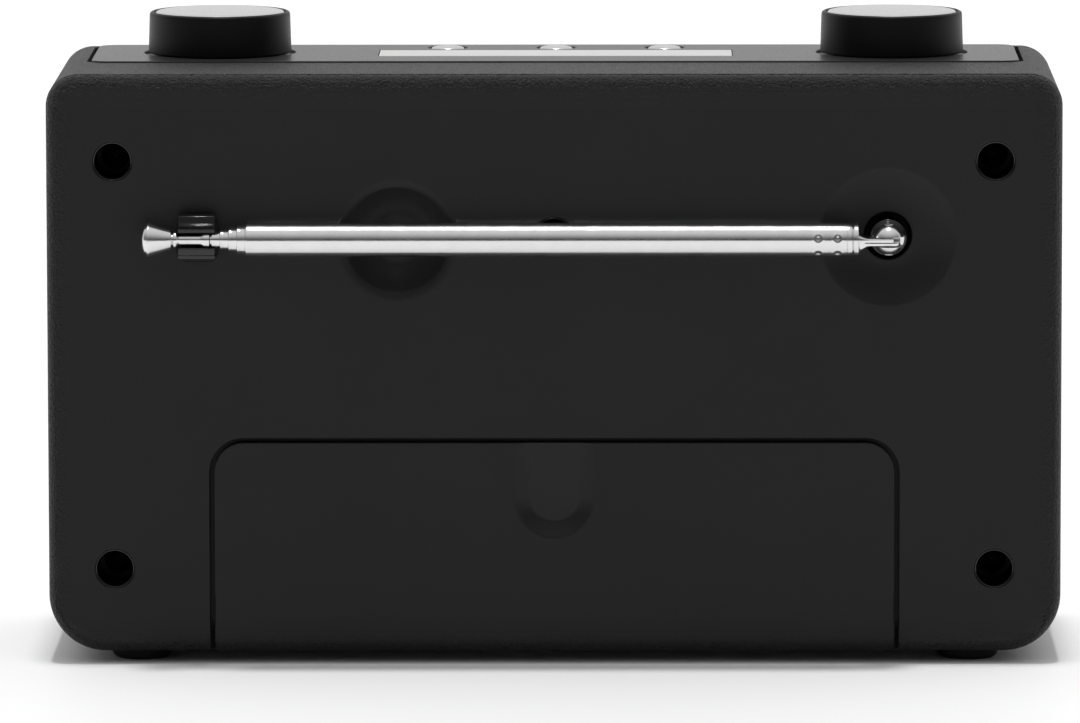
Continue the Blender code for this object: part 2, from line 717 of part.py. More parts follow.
def make_key_board():
    switch_top = INNER_TOP - GAP - 0.0024 - 0.0006
    bm = bmesh.new()
    low = (-0.030, BUTTON_Y - 0.0047, switch_top - 0.0060)
    high = (0.030, BUTTON_Y + 0.0047, switch_top - 0.0044)
    add_box(bm, low, high)
    board = piece("key_board", bm, BOARD_GREEN)
    bm = bmesh.new()
    for x in BUTTON_XS.values():
        low = (x - 0.003, BUTTON_Y - 0.003, switch_top - 0.0050)
        add_box(bm, low, (x + 0.003, BUTTON_Y + 0.003, switch_top - 0.0008))
    join(board, "switches", bm)
    bm = bmesh.new()
    for x in BUTTON_XS.values():
        start = (x, BUTTON_Y, switch_top - 0.0015)
        add_cylinder(bm, start, (x, BUTTON_Y, switch_top), 0.0016, segments=12)
    join(board, "plungers", bm)


# Knobs and encoders


def make_encoder(name, x):
    """A square housing with a threaded bush, hollow for the turning part."""
    bm = bmesh.new()
    low = (x - ENCODER_HALF, KNOB_Y - ENCODER_HALF, ENCODER_TOP - ENCODER_HEIGHT)
    add_box(bm, low, (x + ENCODER_HALF, KNOB_Y + ENCODER_HALF, ENCODER_TOP))
    encoder = piece(name, bm, STEEL)
    bm = bmesh.new()
    start = (x, KNOB_Y, ENCODER_TOP - 0.0005)
    add_cylinder(bm, start, (x, KNOB_Y, BUSH_TOP), BUSH_RADIUS, segments=20)
    join(encoder, f"{name}_bush", bm)
    bm = bmesh.new()
    start = (x, KNOB_Y, CAVITY_BOTTOM)
    add_cylinder(bm, start, (x, KNOB_Y, CAVITY_TOP), CAVITY_RADIUS, segments=20)
    cut(encoder, f"{name}_cavity", bm)
    bm = bmesh.new()
    start = (x, KNOB_Y, CAVITY_TOP - 0.0005)
    radius = SHAFT_RADIUS + RUNNING_GAP
    add_cylinder(bm, start, (x, KNOB_Y, BUSH_TOP + 0.001), radius, segments=20)
    cut(encoder, f"{name}_bore", bm)


def knob_profile():
    """A cup with a hub: cap seat, bevelled rim, side, then the hollow and the shaft bore."""
    top = KNOB_HEIGHT
    hub = 0.0055
    bore = SHAFT_RADIUS + RUNNING_GAP
    return [
        (0, top - 0.0008),
        (KNOB_CAP_RADIUS + GAP, top - 0.0008),
        (KNOB_CAP_RADIUS + GAP, top),
        (KNOB_TOP_RADIUS - 0.0009, top),
        (KNOB_TOP_RADIUS, top - 0.0009),
        (KNOB_RADIUS, 0),
        (0.0132, 0),
        (0.0130, top - 0.0024),
        (hub, top - 0.0024),
        (hub, 0.0022),
        (bore, 0.0022),
        (bore, SHAFT_TOP - PLATE_TOP + GAP),
        (0, SHAFT_TOP - PLATE_TOP + GAP),
    ]


def make_knob(name, x):
    """A knob body and its metal cap, on a vertical axis."""
    place = (x, KNOB_Y, PLATE_TOP)
    knob = turned(name, knob_profile(), BLACK_SMOOTH, place)
    low = KNOB_HEIGHT - 0.0008 + GAP
    cap_profile = [(0, KNOB_HEIGHT + GAP), (KNOB_CAP_RADIUS - 0.0004, KNOB_HEIGHT + GAP / 2)]
    cap_profile += [(KNOB_CAP_RADIUS, KNOB_HEIGHT - 0.0002), (KNOB_CAP_RADIUS, low), (0, low)]
    cap = turned(f"{name}_cap", cap_profile, BRUSHED, place)
    return knob, cap


def make_volume_control():
    make_encoder("volume_encoder", KNOB_X)
    rotor = CAVITY_RADIUS - 0.0004
    profile = [(0, SHAFT_TOP), (SHAFT_RADIUS, SHAFT_TOP), (SHAFT_RADIUS, CAVITY_TOP - GAP)]
    profile += [(rotor, CAVITY_TOP - GAP), (rotor, CAVITY_BOTTOM + GAP), (0, CAVITY_BOTTOM + GAP)]
    shaft = turned("volume_shaft", profile, STEEL, (KNOB_X, KNOB_Y, 0), steps=20)
    knob, cap = make_knob("volume_knob", KNOB_X)
    axis = joint_empty("volume_turn", (KNOB_X, KNOB_Y, PLATE_TOP))
    attach(axis, shaft, knob, cap)


def make_tuning_control():
    """The tuning shaft also presses down through its turning sleeve."""
    x = -KNOB_X
    make_encoder("tuning_encoder", x)
    sleeve = CAVITY_RADIUS - 0.0004
    inner = SHAFT_RADIUS + RUNNING_GAP
    top = CAVITY_TOP - GAP
    bottom = CAVITY_BOTTOM + GAP
    profile = [(inner, top), (sleeve, top), (sleeve, bottom), (inner, bottom)]
    place = (x, KNOB_Y, 0)
    rotor = turned("tuning_rotor", profile, STEEL, place, steps=20, closed=True)
    low = CAVITY_BOTTOM + 0.0009
    profile = [(0, SHAFT_TOP), (SHAFT_RADIUS, SHAFT_TOP), (SHAFT_RADIUS, low), (0, low)]
    shaft = turned("tuning_shaft", profile, STEEL, place, steps=20)
    knob, cap = make_knob("tuning_knob", x)
    turn = joint_empty("tuning_turn", (x, KNOB_Y, PLATE_TOP))
    press = joint_empty("tuning_press", (x, KNOB_Y, PLATE_TOP), turn)
    attach(turn, rotor)
    attach(press, shaft, knob, cap)


# Electronics and sockets


def make_boards():
    bm = bmesh.new()
    add_box(bm, BOARD_LOW, BOARD_HIGH)
    piece("main_board", bm, BOARD_GREEN)
    bm = bmesh.new()
    low = (-0.062, BOARD_HIGH[1] + GAP, 0.060)
    add_box(bm, low, (-0.034, BOARD_HIGH[1] + 0.0040, 0.084))
    piece("tuner_shield", bm, NICKEL)
    bm = bmesh.new()
    low = (SOCKET_BOARD_X, SOCKET_Y - 0.009, 0.027)
    add_box(bm, low, (SOCKET_BOARD_X + 0.0016, SOCKET_Y + 0.012, 0.055))
    piece("socket_board", bm, BOARD_GREEN)


def make_socket(name, z, half, nose, bore, pin):
    """A socket block behind the side wall, with a round nose through it and a blind bore."""
    bm = bmesh.new()
    low = (-INNER_X + GAP, SOCKET_Y - half, z - half)
    add_box(bm, low, (SOCKET_BOARD_X - GAP, SOCKET_Y + half, z + half))
    socket = piece(name, bm, BLACK_SMOOTH)
    face = -HALF_WIDTH + GAP
    bm = bmesh.new()
    start = (-INNER_X + GAP + 0.001, SOCKET_Y, z)
    add_cylinder(bm, start, (face, SOCKET_Y, z), nose, segments=20)
    join(socket, f"{name}_nose", bm)
    floor = SOCKET_BOARD_X - 0.0035
    bm = bmesh.new()
    add_cylinder(bm, (floor, SOCKET_Y, z), (face - 0.001, SOCKET_Y, z), bore)
    cut(socket, f"{name}_bore", bm)
    if pin:
        bm = bmesh.new()
        start = (floor + 0.001, SOCKET_Y, z)
        add_cylinder(bm, start, (face + 0.001, SOCKET_Y, z), pin, segments=10)
        join(socket, f"{name}_pin", bm)


# Batteries


def make_battery_tray():
    """An open tray for two rows of two AA cells."""
    mouth = COVER_Y - 0.0022
    floor = mouth - BAY_DEPTH
    wall = TRAY_WALL
    bm = bmesh.new()
    low = (-BAY_HALF_WIDTH - wall, floor - wall, BAY_BOTTOM - wall)
    add_box(bm, low, (BAY_HALF_WIDTH + wall, mouth, BAY_TOP + wall))
    tray = piece("battery_tray", bm, BLACK_SHELL)
    bm = bmesh.new()
    low = (-BAY_HALF_WIDTH, floor, BAY_BOTTOM)
    add_box(bm, low, (BAY_HALF_WIDTH, mouth + 0.001, BAY_TOP))
    cut(tray, "battery_bay", bm)

    middle = (floor + mouth) / 2
    inset = BAY_HALF_WIDTH - GAP
    thickness = 0.0004
    for name, side, low_z, high_z in (
        ("battery_link", 1, BAY_BOTTOM + 0.001, BAY_TOP - 0.001),
        ("battery_terminal_upper", -1, 0.0265, BAY_TOP - 0.001),
        ("battery_terminal_lower", -1, BAY_BOTTOM + 0.001, 0.0245),
    ):
        bm = bmesh.new()
        ends = sorted((side * inset, side * (inset - thickness)))
        low = (ends[0], middle - 0.006, low_z)
        add_box(bm, low, (ends[1], middle + 0.006, high_z))
        piece(name, bm, NICKEL)
    for name, side, z in (
        ("battery_spring_upper", -1, CELL_ROWS["upper"]),
        ("battery_spring_lower", 1, CELL_ROWS["lower"]),
    ):
        wire(name, spring_route(side, middle, z), 0.0003, NICKEL)


def spring_route(side, middle, z):
    """A cone-shaped coil of three turns that stands on its contact plate."""
    turns = 2.5
    steps = 8
    foot = BAY_HALF_WIDTH - 2 * GAP - 0.0004 - 0.0003
    route = []
    for index in range(int(turns * steps) + 1):
        part = index / (turns * steps)
        angle = part * turns * 2 * math.pi
        radius = 0.0042 - 0.0022 * part
        x = side * (foot - 0.0060 * part)
        route.append((x, middle + radius * math.cos(angle), z + radius * math.sin(angle)))
    return route


def make_battery_door():
    """Slides down and off. Its flanges run behind the rear cover."""
    inner_y = REAR_Y - COVER_WALL
    flange_y = inner_y - GAP
    flange_back = flange_y - DOOR_FLANGE_THICKNESS
    bm = bmesh.new()
    low = (-DOOR_HALF_WIDTH, COVER_Y + GAP, BODY_BOTTOM)
    add_box(bm, low, (DOOR_HALF_WIDTH, REAR_Y, DOOR_TOP))
    round_edges(bm, DOOR_CORNER, lambda co: abs(co.z - DOOR_TOP) < 1e-6, along=1)
    round_edges(bm, REAR_ROUND, lambda co: co.z < BODY_BOTTOM + 1e-6 and co.y > REAR_Y - 1e-6)
    door = piece("battery_door", bm, BLACK_SHELL)
    bm = bmesh.new()
    low = (-DOOR_HALF_WIDTH - 0.001, COVER_Y, BODY_BOTTOM + 0.0022)
    add_box(bm, low, (DOOR_HALF_WIDTH + 0.001, inner_y, DOOR_TOP + 0.001))
    cut(door, "door_hollow", bm)
    bm = bmesh.new()
    low = (-DOOR_HALF_WIDTH + 0.002, flange_back + 0.0002, BODY_BOTTOM + 0.0012)
    add_box(bm, low, (DOOR_HALF_WIDTH - 0.002, inner_y + 0.0005, DOOR_TOP - 0.006))
    join(door, "door_core", bm)
    bm = bmesh.new()
    width = DOOR_HALF_WIDTH + DOOR_FLANGE
    low = (-width, flange_back, BODY_BOTTOM + 0.0006)
    add_box(bm, low, (width, flange_y, DOOR_TOP + DOOR_FLANGE))
    join(door, "door_flange", bm)
    bm = bmesh.new()
    slant = math.atan2(SCOOP_DEPTH, DOOR_TOP - SCOOP_Z + SCOOP_RADIUS)
    low = (-SCOOP_RADIUS, 0, SCOOP_Z - SCOOP_RADIUS - DOOR_TOP)
    add_rounded_box(bm, low, (SCOOP_RADIUS, 0.008, 0.02), 0.0078, segments=8)
    turn = Matrix.Rotation(slant, 4, "X")
    bm.transform(Matrix.Translation((0, REAR_Y, DOOR_TOP)) @ turn)
    cut(door, "thumb_scoop", bm)
    move_origin(door, (0, REAR_Y, DOOR_TOP))


# Aerial


def make_aerial_clip():
    """Two springy jaws on a base in the cover's pocket."""
    half_x = POCKET_HALF_X - GAP
    half_z = POCKET_HALF_Z - GAP
    bm = bmesh.new()
    low = (CLIP_X - half_x, REAR_Y - POCKET_DEPTH + GAP, AERIAL_Z - half_z)
    high = (CLIP_X + half_x, REAR_Y - 0.0009, AERIAL_Z + half_z)
    add_rounded_box(bm, low, high, 0.0020, segments=3)
    clip = piece("aerial_clip", bm, BLACK_GLOSS)
    bm = bmesh.new()
    low = (CLIP_X - 0.0036, REAR_Y - 0.0014, AERIAL_Z - 0.0040)
    high = (CLIP_X + 0.0036, AERIAL_Y + 0.0019, AERIAL_Z + 0.0042)
    add_rounded_box(bm, low, high, 0.0009, axis=0, segments=3)
    join(clip, "clip_jaws", bm)
    bm = bmesh.new()
    low = (CLIP_X - 0.0050, REAR_Y + 0.0004, AERIAL_Z - 0.0016)
    add_box(bm, low, (CLIP_X + 0.0050, AERIAL_Y + 0.0040, AERIAL_Z + 0.0016))
    cut(clip, "clip_slot", bm)


def make_aerial_bushing():
    profile = [(0.0044, -0.0052), (0.0044, -BOSS_DEPTH - GAP), (0.0060, -BOSS_DEPTH - GAP)]
    profile += [(0.0060, -BOSS_DEPTH - 0.0015), (0.00235, -BOSS_DEPTH - 0.0015)]
    profile += [(0.00235, -0.0052)]
    place = (SWIVEL_X, REAR_Y, AERIAL_Z)
    turned("aerial_bushing", profile, NICKEL, place, axis="Y", steps=16, closed=True)


def make_aerial_swivel():
    """The domed head in the bowl, its stem through the bushing, and the tilt pin."""
    place = (SWIVEL_X, REAR_Y, AERIAL_Z)
    dome_low = 0.0046
    dome = []
    for index in range(5):
        angle = math.pi / 2 * index / 4
        dome.append((0.0034 * math.sin(angle), dome_low + 0.0033 * math.cos(angle)))
    stem_end = -BOSS_DEPTH - 0.0031
    profile = [*dome, (0.0034, 0.0009), (0.0037, 0.0006), (0.0037, -0.0046)]
    profile += [(0.0022, -0.0046), (0.0022, stem_end), (0.00115, stem_end)]
    profile += [(0.00115, stem_end + 0.006), (0, stem_end + 0.006)]
    head = turned("aerial_head", profile, CHROME, place, axis="Y", steps=16)
    bm = bmesh.new()
    low = (SWIVEL_X - 0.006, AERIAL_Y - 0.0029, AERIAL_Z - 0.00115)
    add_box(bm, low, (SWIVEL_X + 0.006, AERIAL_Y + 0.006, AERIAL_Z + 0.00115))
    cut(head, "head_slot", bm)
    bm = bmesh.new()
    start = (SWIVEL_X, AERIAL_Y, AERIAL_Z - 0.005)
    end = (SWIVEL_X, AERIAL_Y, AERIAL_Z + 0.005)
    add_cylinder(bm, start, end, 0.00105, segments=12)
    cut(head, "head_pin_hole", bm)
    bm = bmesh.new()
    start = (SWIVEL_X, AERIAL_Y, AERIAL_Z - 0.0031)
    end = (SWIVEL_X, AERIAL_Y, AERIAL_Z + 0.0031)
    add_cylinder(bm, start, end, 0.0009, segments=12)
    pin = piece("aerial_pin", bm, STEEL)
    profile = [(0, stem_end + 0.0055), (0.0010, stem_end + 0.0055), (0.0010, stem_end - GAP)]
    profile += [(0.0034, stem_end - GAP), (0.0034, stem_end - 0.0014), (0, stem_end - 0.0014)]
    screw = turned("aerial_screw", profile, STEEL, place, axis="Y", steps=12)
    return head, pin, screw


def make_aerial_knuckle():
    """The solid end of the first tube, flattened to a tongue that the pin goes through."""
    shoulder = TUBE_FIRST_X - GAP
    end_x = shoulder - 0.0011
    plug_end = TUBE_FIRST_X + 0.0035
    outer = TUBE_RADII[0]
    plug = outer - TUBE_WALL - RUNNING_GAP
    profile = [(0, plug_end), (plug, plug_end), (plug, shoulder), (outer, shoulder)]
    profile += [(outer, end_x), (0.0012, end_x - 0.0020), (0, end_x - 0.0020)]
    place = (0, AERIAL_Y, AERIAL_Z)
    knuckle = turned("aerial_knuckle", profile, CHROME, place, axis="X", steps=TUBE_SIDES)
    tongue = 0.0023
    bm = bmesh.new()
    low = (SWIVEL_X - tongue, AERIAL_Y - tongue, AERIAL_Z - 0.0010)
    add_box(bm, low, (end_x + 0.0003, AERIAL_Y + tongue, AERIAL_Z + 0.0010))
    round_edges(bm, tongue - 0.0001, lambda co: co.x < low[0] + 1e-6, along=2)
    join(knuckle, "knuckle_tongue", bm)
    bm = bmesh.new()
    start = (SWIVEL_X, AERIAL_Y, AERIAL_Z - 0.002)
    end = (SWIVEL_X, AERIAL_Y, AERIAL_Z + 0.002)
    add_cylinder(bm, start, end, 0.00105, segments=12)
    cut(knuckle, "knuckle_hole", bm)
    return knuckle


def make_aerial_tube(number):
    """One chromed tube, open at both ends, with its outer edge rounded."""
    outer = TUBE_RADII[number]
    inner = outer - TUBE_WALL
    low = TUBE_FIRST_X + number * TUBE_START_STEP + (0.0045 if number else 0.0)
    high = TUBE_END_X + number * TUBE_STEP_X
    lip = 0.0002
    profile = [(inner, high), (outer - lip, high), (outer, high - lip), (outer, low), (inner, low)]
    place = (0, AERIAL_Y, AERIAL_Z)
    name = f"aerial_tube_{number + 1}"
    return turned(name, profile, CHROME, place, axis="X", steps=TUBE_SIDES, closed=True)


def make_aerial_rod():
    """The last section: a solid rod with its end collars and the flared tip."""
    low = TUBE_FIRST_X + 0.0045 + len(TUBE_RADII) * TUBE_START_STEP
    collar = TUBE_END_X + (len(TUBE_RADII) - 1) * TUBE_STEP_X
    tip_start = 0.0768
    tip_widest = 0.0818
    rod = ROD_RADIUS
    profile = [(0, 0.0832), (0.0017, 0.0831), (0.0029, 0.0826), (TIP_RADIUS, tip_widest)]
    profile += [(0.0018, tip_start), (0.0013, tip_start), (0.0013, tip_start - 0.0002)]
    profile += [(0.0015, tip_start - 0.0002), (0.0015, tip_start - 0.0010)]
    profile += [(rod, tip_start - 0.0014), (rod, collar + 0.0018), (0.00145, collar + 0.0014)]
    profile += [(0.00145, collar + 0.0003), (rod, collar + 0.0003), (rod, low), (0, low)]
    place = (0, AERIAL_Y, AERIAL_Z)
    return turned("aerial_rod", profile, CHROME, place, axis="X", steps=TUBE_SIDES)


def make_aerial():
    """The tree of joints: the head turns, the first tube tilts, and each later tube slides."""
    head, pin, screw = make_aerial_swivel()
    swivel = joint_empty("aerial_swivel", (SWIVEL_X, REAR_Y, AERIAL_Z))
    attach(swivel, head, pin, screw)
    holder = joint_empty("aerial_tilt", (SWIVEL_X, AERIAL_Y, AERIAL_Z), swivel)
    attach(holder, make_aerial_knuckle(), make_aerial_tube(0))
    for number in range(1, len(TUBE_RADII)):
        place = (TUBE_END_X + number * TUBE_STEP_X, AERIAL_Y, AERIAL_Z)
        holder = joint_empty(f"aerial_slide_{number}", place, holder)
        attach(holder, make_aerial_tube(number))
    place = (TUBE_END_X + len(TUBE_RADII) * TUBE_STEP_X, AERIAL_Y, AERIAL_Z)
    holder = joint_empty("aerial_slide_rod", place, holder)
    attach(holder, make_aerial_rod())


# Internal wires


def make_wires():
    board_back = BOARD_HIGH[1] + 0.0016
    magnet_y = FRONT_INNER_Y + 0.022
    speaker = [
        (SPEAKER_X - 0.0215, magnet_y, SPEAKER_Z + 0.004),
        (SPEAKER_X - 0.027, magnet_y + 0.003, SPEAKER_Z + 0.005),
        (0.008, BOARD_Y + 0.002, 0.068),
        (-0.004, BOARD_Y + 0.006, 0.071),
        (-0.014, board_back + 0.001, 0.070),
        (-0.018, board_back - 0.0005, 0.070),
    ]
    wire("speaker_lead", smooth_route(speaker), 0.0009, RED_WIRE)
    battery = [
        (-0.0613, COVER_Y - 0.010, 0.030),
        (-0.0645, COVER_Y - 0.010, 0.031),
        (-0.067, COVER_Y - 0.016, 0.045),
        (-0.064, board_back + 0.006, 0.054),
        (-0.060, board_back + 0.001, 0.056),
        (-0.056, board_back - 0.0005, 0.056),
    ]
    wire("battery_lead", smooth_route(battery), 0.0009, GREY_WIRE)
    bush_y = REAR_Y - BOSS_DEPTH - 0.0009
    aerial = [
        (SWIVEL_X + 0.0073, bush_y, AERIAL_Z - 0.001),
        (SWIVEL_X + 0.011, bush_y - 0.003, AERIAL_Z - 0.004),
        (SWIVEL_X + 0.012, board_back + 0.008, AERIAL_Z + 0.001),
        (SWIVEL_X + 0.014, board_back + 0.001, AERIAL_Z + 0.003),
        (SWIVEL_X + 0.018, board_back - 0.0005, AERIAL_Z + 0.003),
    ]
    wire("aerial_lead", smooth_route(aerial), 0.0007, GREY_WIRE)
    keys = [
        (-0.0315, BUTTON_Y, 0.1073),
        (-0.035, BUTTON_Y + 0.001, 0.1068),
        (-0.040, BOARD_Y - 0.008, 0.1055),
        (-0.042, BOARD_Y - 0.004, 0.1035),
        (-0.042, BOARD_Y + 0.0006, 0.1018),
    ]
    wire("key_lead", smooth_route(keys), 0.0009, GREY_WIRE)
    sockets = [
        (SOCKET_BOARD_X + 0.0028, SOCKET_Y + 0.004, 0.045),
        (SOCKET_BOARD_X + 0.007, SOCKET_Y + 0.004, 0.046),
        (SOCKET_BOARD_X + 0.010, board_back + 0.002, 0.052),
        (SOCKET_BOARD_X + 0.013, board_back + 0.001, 0.058),
        (SOCKET_BOARD_X + 0.016, board_back - 0.0005, 0.059),
    ]
    wire("socket_lead", smooth_route(sockets), 0.0009, GREY_WIRE)


def make_radio():
    clear_scene()
    make_cabinet()
    make_rear_cover()
    make_rear_screws()
    make_feet()
    make_grille()
    make_speaker()
    make_top_plate()
    make_display()
    make_buttons()
    make_key_board()
    make_volume_control()
    make_tuning_control()
    make_boards()
    make_socket("dc_socket", DC_Z, 0.0050, DC_NOSE_RADIUS, DC_BORE_RADIUS, 0.0010)
    make_socket("headphone_socket", PHONES_Z, 0.0040, PHONES_NOSE_RADIUS, PHONES_BORE_RADIUS, 0)
    make_battery_tray()
    make_battery_door()
    make_aerial_clip()
    make_aerial_bushing()
    make_aerial()
    make_wires()


make_radio()
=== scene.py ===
from math import atan2, cos, exp, pi, radians, sin, sqrt

import bmesh
import bpy
from mathutils import Matrix, Vector


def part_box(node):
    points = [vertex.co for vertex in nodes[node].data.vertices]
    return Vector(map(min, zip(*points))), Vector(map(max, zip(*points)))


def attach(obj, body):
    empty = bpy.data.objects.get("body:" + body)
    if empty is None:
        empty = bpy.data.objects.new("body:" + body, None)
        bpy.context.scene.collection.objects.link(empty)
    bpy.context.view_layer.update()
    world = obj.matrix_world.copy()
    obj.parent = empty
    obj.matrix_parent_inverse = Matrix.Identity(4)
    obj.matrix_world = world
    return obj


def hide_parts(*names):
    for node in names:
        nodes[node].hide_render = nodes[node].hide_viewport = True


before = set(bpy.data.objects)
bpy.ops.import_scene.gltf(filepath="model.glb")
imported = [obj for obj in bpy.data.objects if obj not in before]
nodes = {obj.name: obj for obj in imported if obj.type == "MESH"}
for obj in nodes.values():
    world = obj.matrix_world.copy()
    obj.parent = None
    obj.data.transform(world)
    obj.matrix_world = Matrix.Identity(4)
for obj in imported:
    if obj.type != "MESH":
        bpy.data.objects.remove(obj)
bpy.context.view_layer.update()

MM = 0.001
RADIO = "radio_body"

# Places read from the frame
CAB_LOW, CAB_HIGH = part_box("cabinet")
COV_LOW, COV_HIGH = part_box("rear_cover")
DOOR_LOW, DOOR_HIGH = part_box("battery_door")
PLATE_LOW, PLATE_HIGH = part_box("top_plate")
WINDOW_LOW, WINDOW_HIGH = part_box("display_window")
GRILLE_LOW, GRILLE_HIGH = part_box("front_grille")
CLIP_LOW, CLIP_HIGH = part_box("aerial_clip")
TUBE_LOW, TUBE_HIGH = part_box("aerial_tube_1")
HEAD_LOW, HEAD_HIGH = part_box("aerial_head")


def middle(node):
    low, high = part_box(node)
    return (low + high) / 2


HALF_WIDTH = CAB_HIGH.x
BODY_BOTTOM = CAB_LOW.z
BODY_TOP = CAB_HIGH.z
FRONT_Y = CAB_LOW.y
REAR_Y = COV_HIGH.y
SEAM = 0.15 * MM
COVER_Y = (CAB_HIGH.y + COV_LOW.y) / 2 if COV_LOW.y > CAB_HIGH.y else CAB_HIGH.y + SEAM
AERIAL_Y = (TUBE_LOW.y + TUBE_HIGH.y) / 2
AERIAL_Z = (TUBE_LOW.z + TUBE_HIGH.z) / 2
SWIVEL_X = (HEAD_LOW.x + HEAD_HIGH.x) / 2
CORNER = (11.5 * MM, 6.5 * MM)
REAR_ROUND = 3.7 * MM
FRONT_ROUND = 2.5 * MM
WELLS = [(middle(f"rear_screw_{n}").x, middle(f"rear_screw_{n}").z) for n in range(1, 6)]
DISH_X = 31.6 * MM
DISH_Z = AERIAL_Z - 0.6 * MM
DISH_PLACE = (DISH_X, REAR_Y, DISH_Z)
SWIVEL_PLACE = (SWIVEL_X, REAR_Y, AERIAL_Z)
WALL = 2.2 * MM


# Mesh tools


def arc(count, start=0.0, end=pi / 2):
    """Evenly spaced values from start to end."""
    return [start + (end - start) * k / count for k in range(count + 1)]


def outline(x0, x1, z0, z1, low_corner, high_corner, steps=14):
    """Points round a rectangle with rounded corners, as (x, z)."""
    points = []
    for cx, cz, corner, turn in (
        (x1 - high_corner, z1 - high_corner, high_corner, 0.0),
        (x0 + high_corner, z1 - high_corner, high_corner, 0.5),
        (x0 + low_corner, z0 + low_corner, low_corner, 1.0),
        (x1 - low_corner, z0 + low_corner, low_corner, 1.5),
    ):
        for a in arc(steps):
            angle = a + turn * pi
            points.append((cx + corner * cos(angle), cz + corner * sin(angle)))
    return points


def loft(bm, rings):
    """Faces between rings of the same number of points, closed at both ends."""
    loops = [[bm.verts.new(p) for p in ring] for ring in rings]
    count = len(loops[0])
    for a, b in zip(loops, loops[1:]):
        for k in range(count):
            bm.faces.new((a[k], a[(k + 1) % count], b[(k + 1) % count], b[k]))
    bm.faces.new(loops[0])
    bm.faces.new(loops[-1])


def slab(bm, x0, x1, z0, z1, corner, levels, axis=1, steps=14):
    """A rounded rectangle taken through levels of (height, inset) along axis 1 (Y) or 2 (Z).

    A pair of corners is the lower two's radius and the upper two's.
    """
    corners = corner if isinstance(corner, tuple) else (corner, corner)
    rings = []
    for height, inset in levels:
        low_corner, high_corner = (max(radius - inset, 0.02 * MM) for radius in corners)
        ring = outline(x0 + inset, x1 - inset, z0 + inset, z1 - inset, low_corner, high_corner,
            steps)
        if axis == 1:
            rings.append([(x, height, z) for x, z in ring])
        else:
            rings.append([(x, z, height) for x, z in ring])
    loft(bm, rings)


def panel(bm, box, corner, levels, grow=0.0, axis=2, steps=14):
    """A slab over a CAD box, wider than the box by grow on each side."""
    low, high = box
    side = 3 - axis
    slab(
        bm, low.x - grow, high.x + grow, low[side] - grow, high[side] + grow,
        corner, levels, axis, steps,
    )


def edge_levels(low, high, low_round, high_round, steps=8, inset=0.0):
    """Levels of (height, inset) for a slab whose two rims are rounded."""
    levels = []
    if low_round:
        for a in arc(steps):
            levels.append((low + low_round * (1 - cos(a)),
                inset + low_round * (1 - sin(a))))
    else:
        levels.append((low, inset))
    if high_round:
        for a in arc(steps):
            rise = high_round * sin(a)
            levels.append((high - high_round + rise, inset + high_round * (1 - cos(a))))
    else:
        levels.append((high, inset))
    return levels


def soften(profile, radius, steps=4):
    """Rounds each inner corner of a polyline of (radius, height) points."""
    out = [profile[0]]
    for before, here, after in zip(profile, profile[1:], profile[2:]):
        a, b, c = Vector(before), Vector(here), Vector(after)
        r = min(radius, 0.45 * (a - b).length, 0.45 * (c - b).length)
        start = b + (a - b).normalized() * r
        end = b + (c - b).normalized() * r
        for k in range(steps + 1):
            t = k / steps
            out.append(tuple(start * (1 - t) ** 2 + b * 2 * t * (1 - t) + end * t**2))
    out.append(profile[-1])
    return out


AXES = {
    "X": lambda r, a, h: (h, r * cos(a), r * sin(a)),
    "Y": lambda r, a, h: (r * cos(a), h, r * sin(a)),
    "Z": lambda r, a, h: (r * cos(a), r * sin(a), h),
}


def lathe(bm, profile, place, axis="Z", steps=64, closed=False):
    """A turned shape from (radius, height) points."""
    place = Vector(place)
    rings = []
    for r, h in profile:
        if r < 1e-7:
            rings.append([bm.verts.new(place + Vector(AXES[axis](0, 0, h)))])
        else:
            rings.append(
                [
                    bm.verts.new(place + Vector(AXES[axis](r, 2 * pi * k / steps, h)))
                    for k in range(steps)
                ]
            )
    pairs = list(zip(rings, rings[1:]))
    if closed:
        pairs.append((rings[-1], rings[0]))
    for a, b in pairs:
        for k in range(steps):
            n = (k + 1) % steps
            if len(a) == 1 and len(b) == 1:
                break
            if len(a) == 1:
                bm.faces.new((a[0], b[n], b[k]))
            elif len(b) == 1:
                bm.faces.new((a[k], a[n], b[0]))
            else:
                bm.faces.new((a[k], a[n], b[n], b[k]))


def make(name, bm, sharp=35):
    """An object from a bmesh, with outward normals and smooth shading."""
    bmesh.ops.recalc_face_normals(bm, faces=bm.faces)
    mesh = bpy.data.meshes.new(name)
    bm.to_mesh(mesh)
    bm.free()
    obj = bpy.data.objects.new(name, mesh)
    bpy.context.scene.collection.objects.link(obj)
    shade(obj, sharp)
    return obj


def shade(obj, sharp=35):
    obj.data.shade_smooth()
    obj.data.set_sharp_from_angle(angle=radians(sharp))


def weighted(obj):
    """Normals that keep large flat faces flat beside their rounded edges."""
    modifier = obj.modifiers.new("normals", "WEIGHTED_NORMAL")
    modifier.keep_sharp = True
    modifier.weight = 80


def apply_all(obj):
    graph = bpy.context.evaluated_depsgraph_get()
    mesh = bpy.data.meshes.new_from_object(obj.evaluated_get(graph))
    obj.modifiers.clear()
    obj.data = mesh


def combine(target, operation, builders):
    """Cuts or joins each builder's shape, then keeps the result."""
    helpers = []
    for index, builder in enumerate(builders):
        bm = bmesh.new()
        builder(bm)
        helper = make(f"helper_{index}", bm)
        modifier = target.modifiers.new("cut", "BOOLEAN")
        modifier.operation = operation
        modifier.object = helper
        modifier.solver = "EXACT"
        helpers.append(helper)
    bpy.context.view_layer.update()
    apply_all(target)
    assert len(target.data.polygons) > 3, f"nothing is left of {target.name}"
    for helper in helpers:
        mesh = helper.data
        bpy.data.objects.remove(helper)
        bpy.data.meshes.remove(mesh)


def carve(target, *builders):
    combine(target, "DIFFERENCE", builders)


def join(target, *builders):
    combine(target, "UNION", builders)


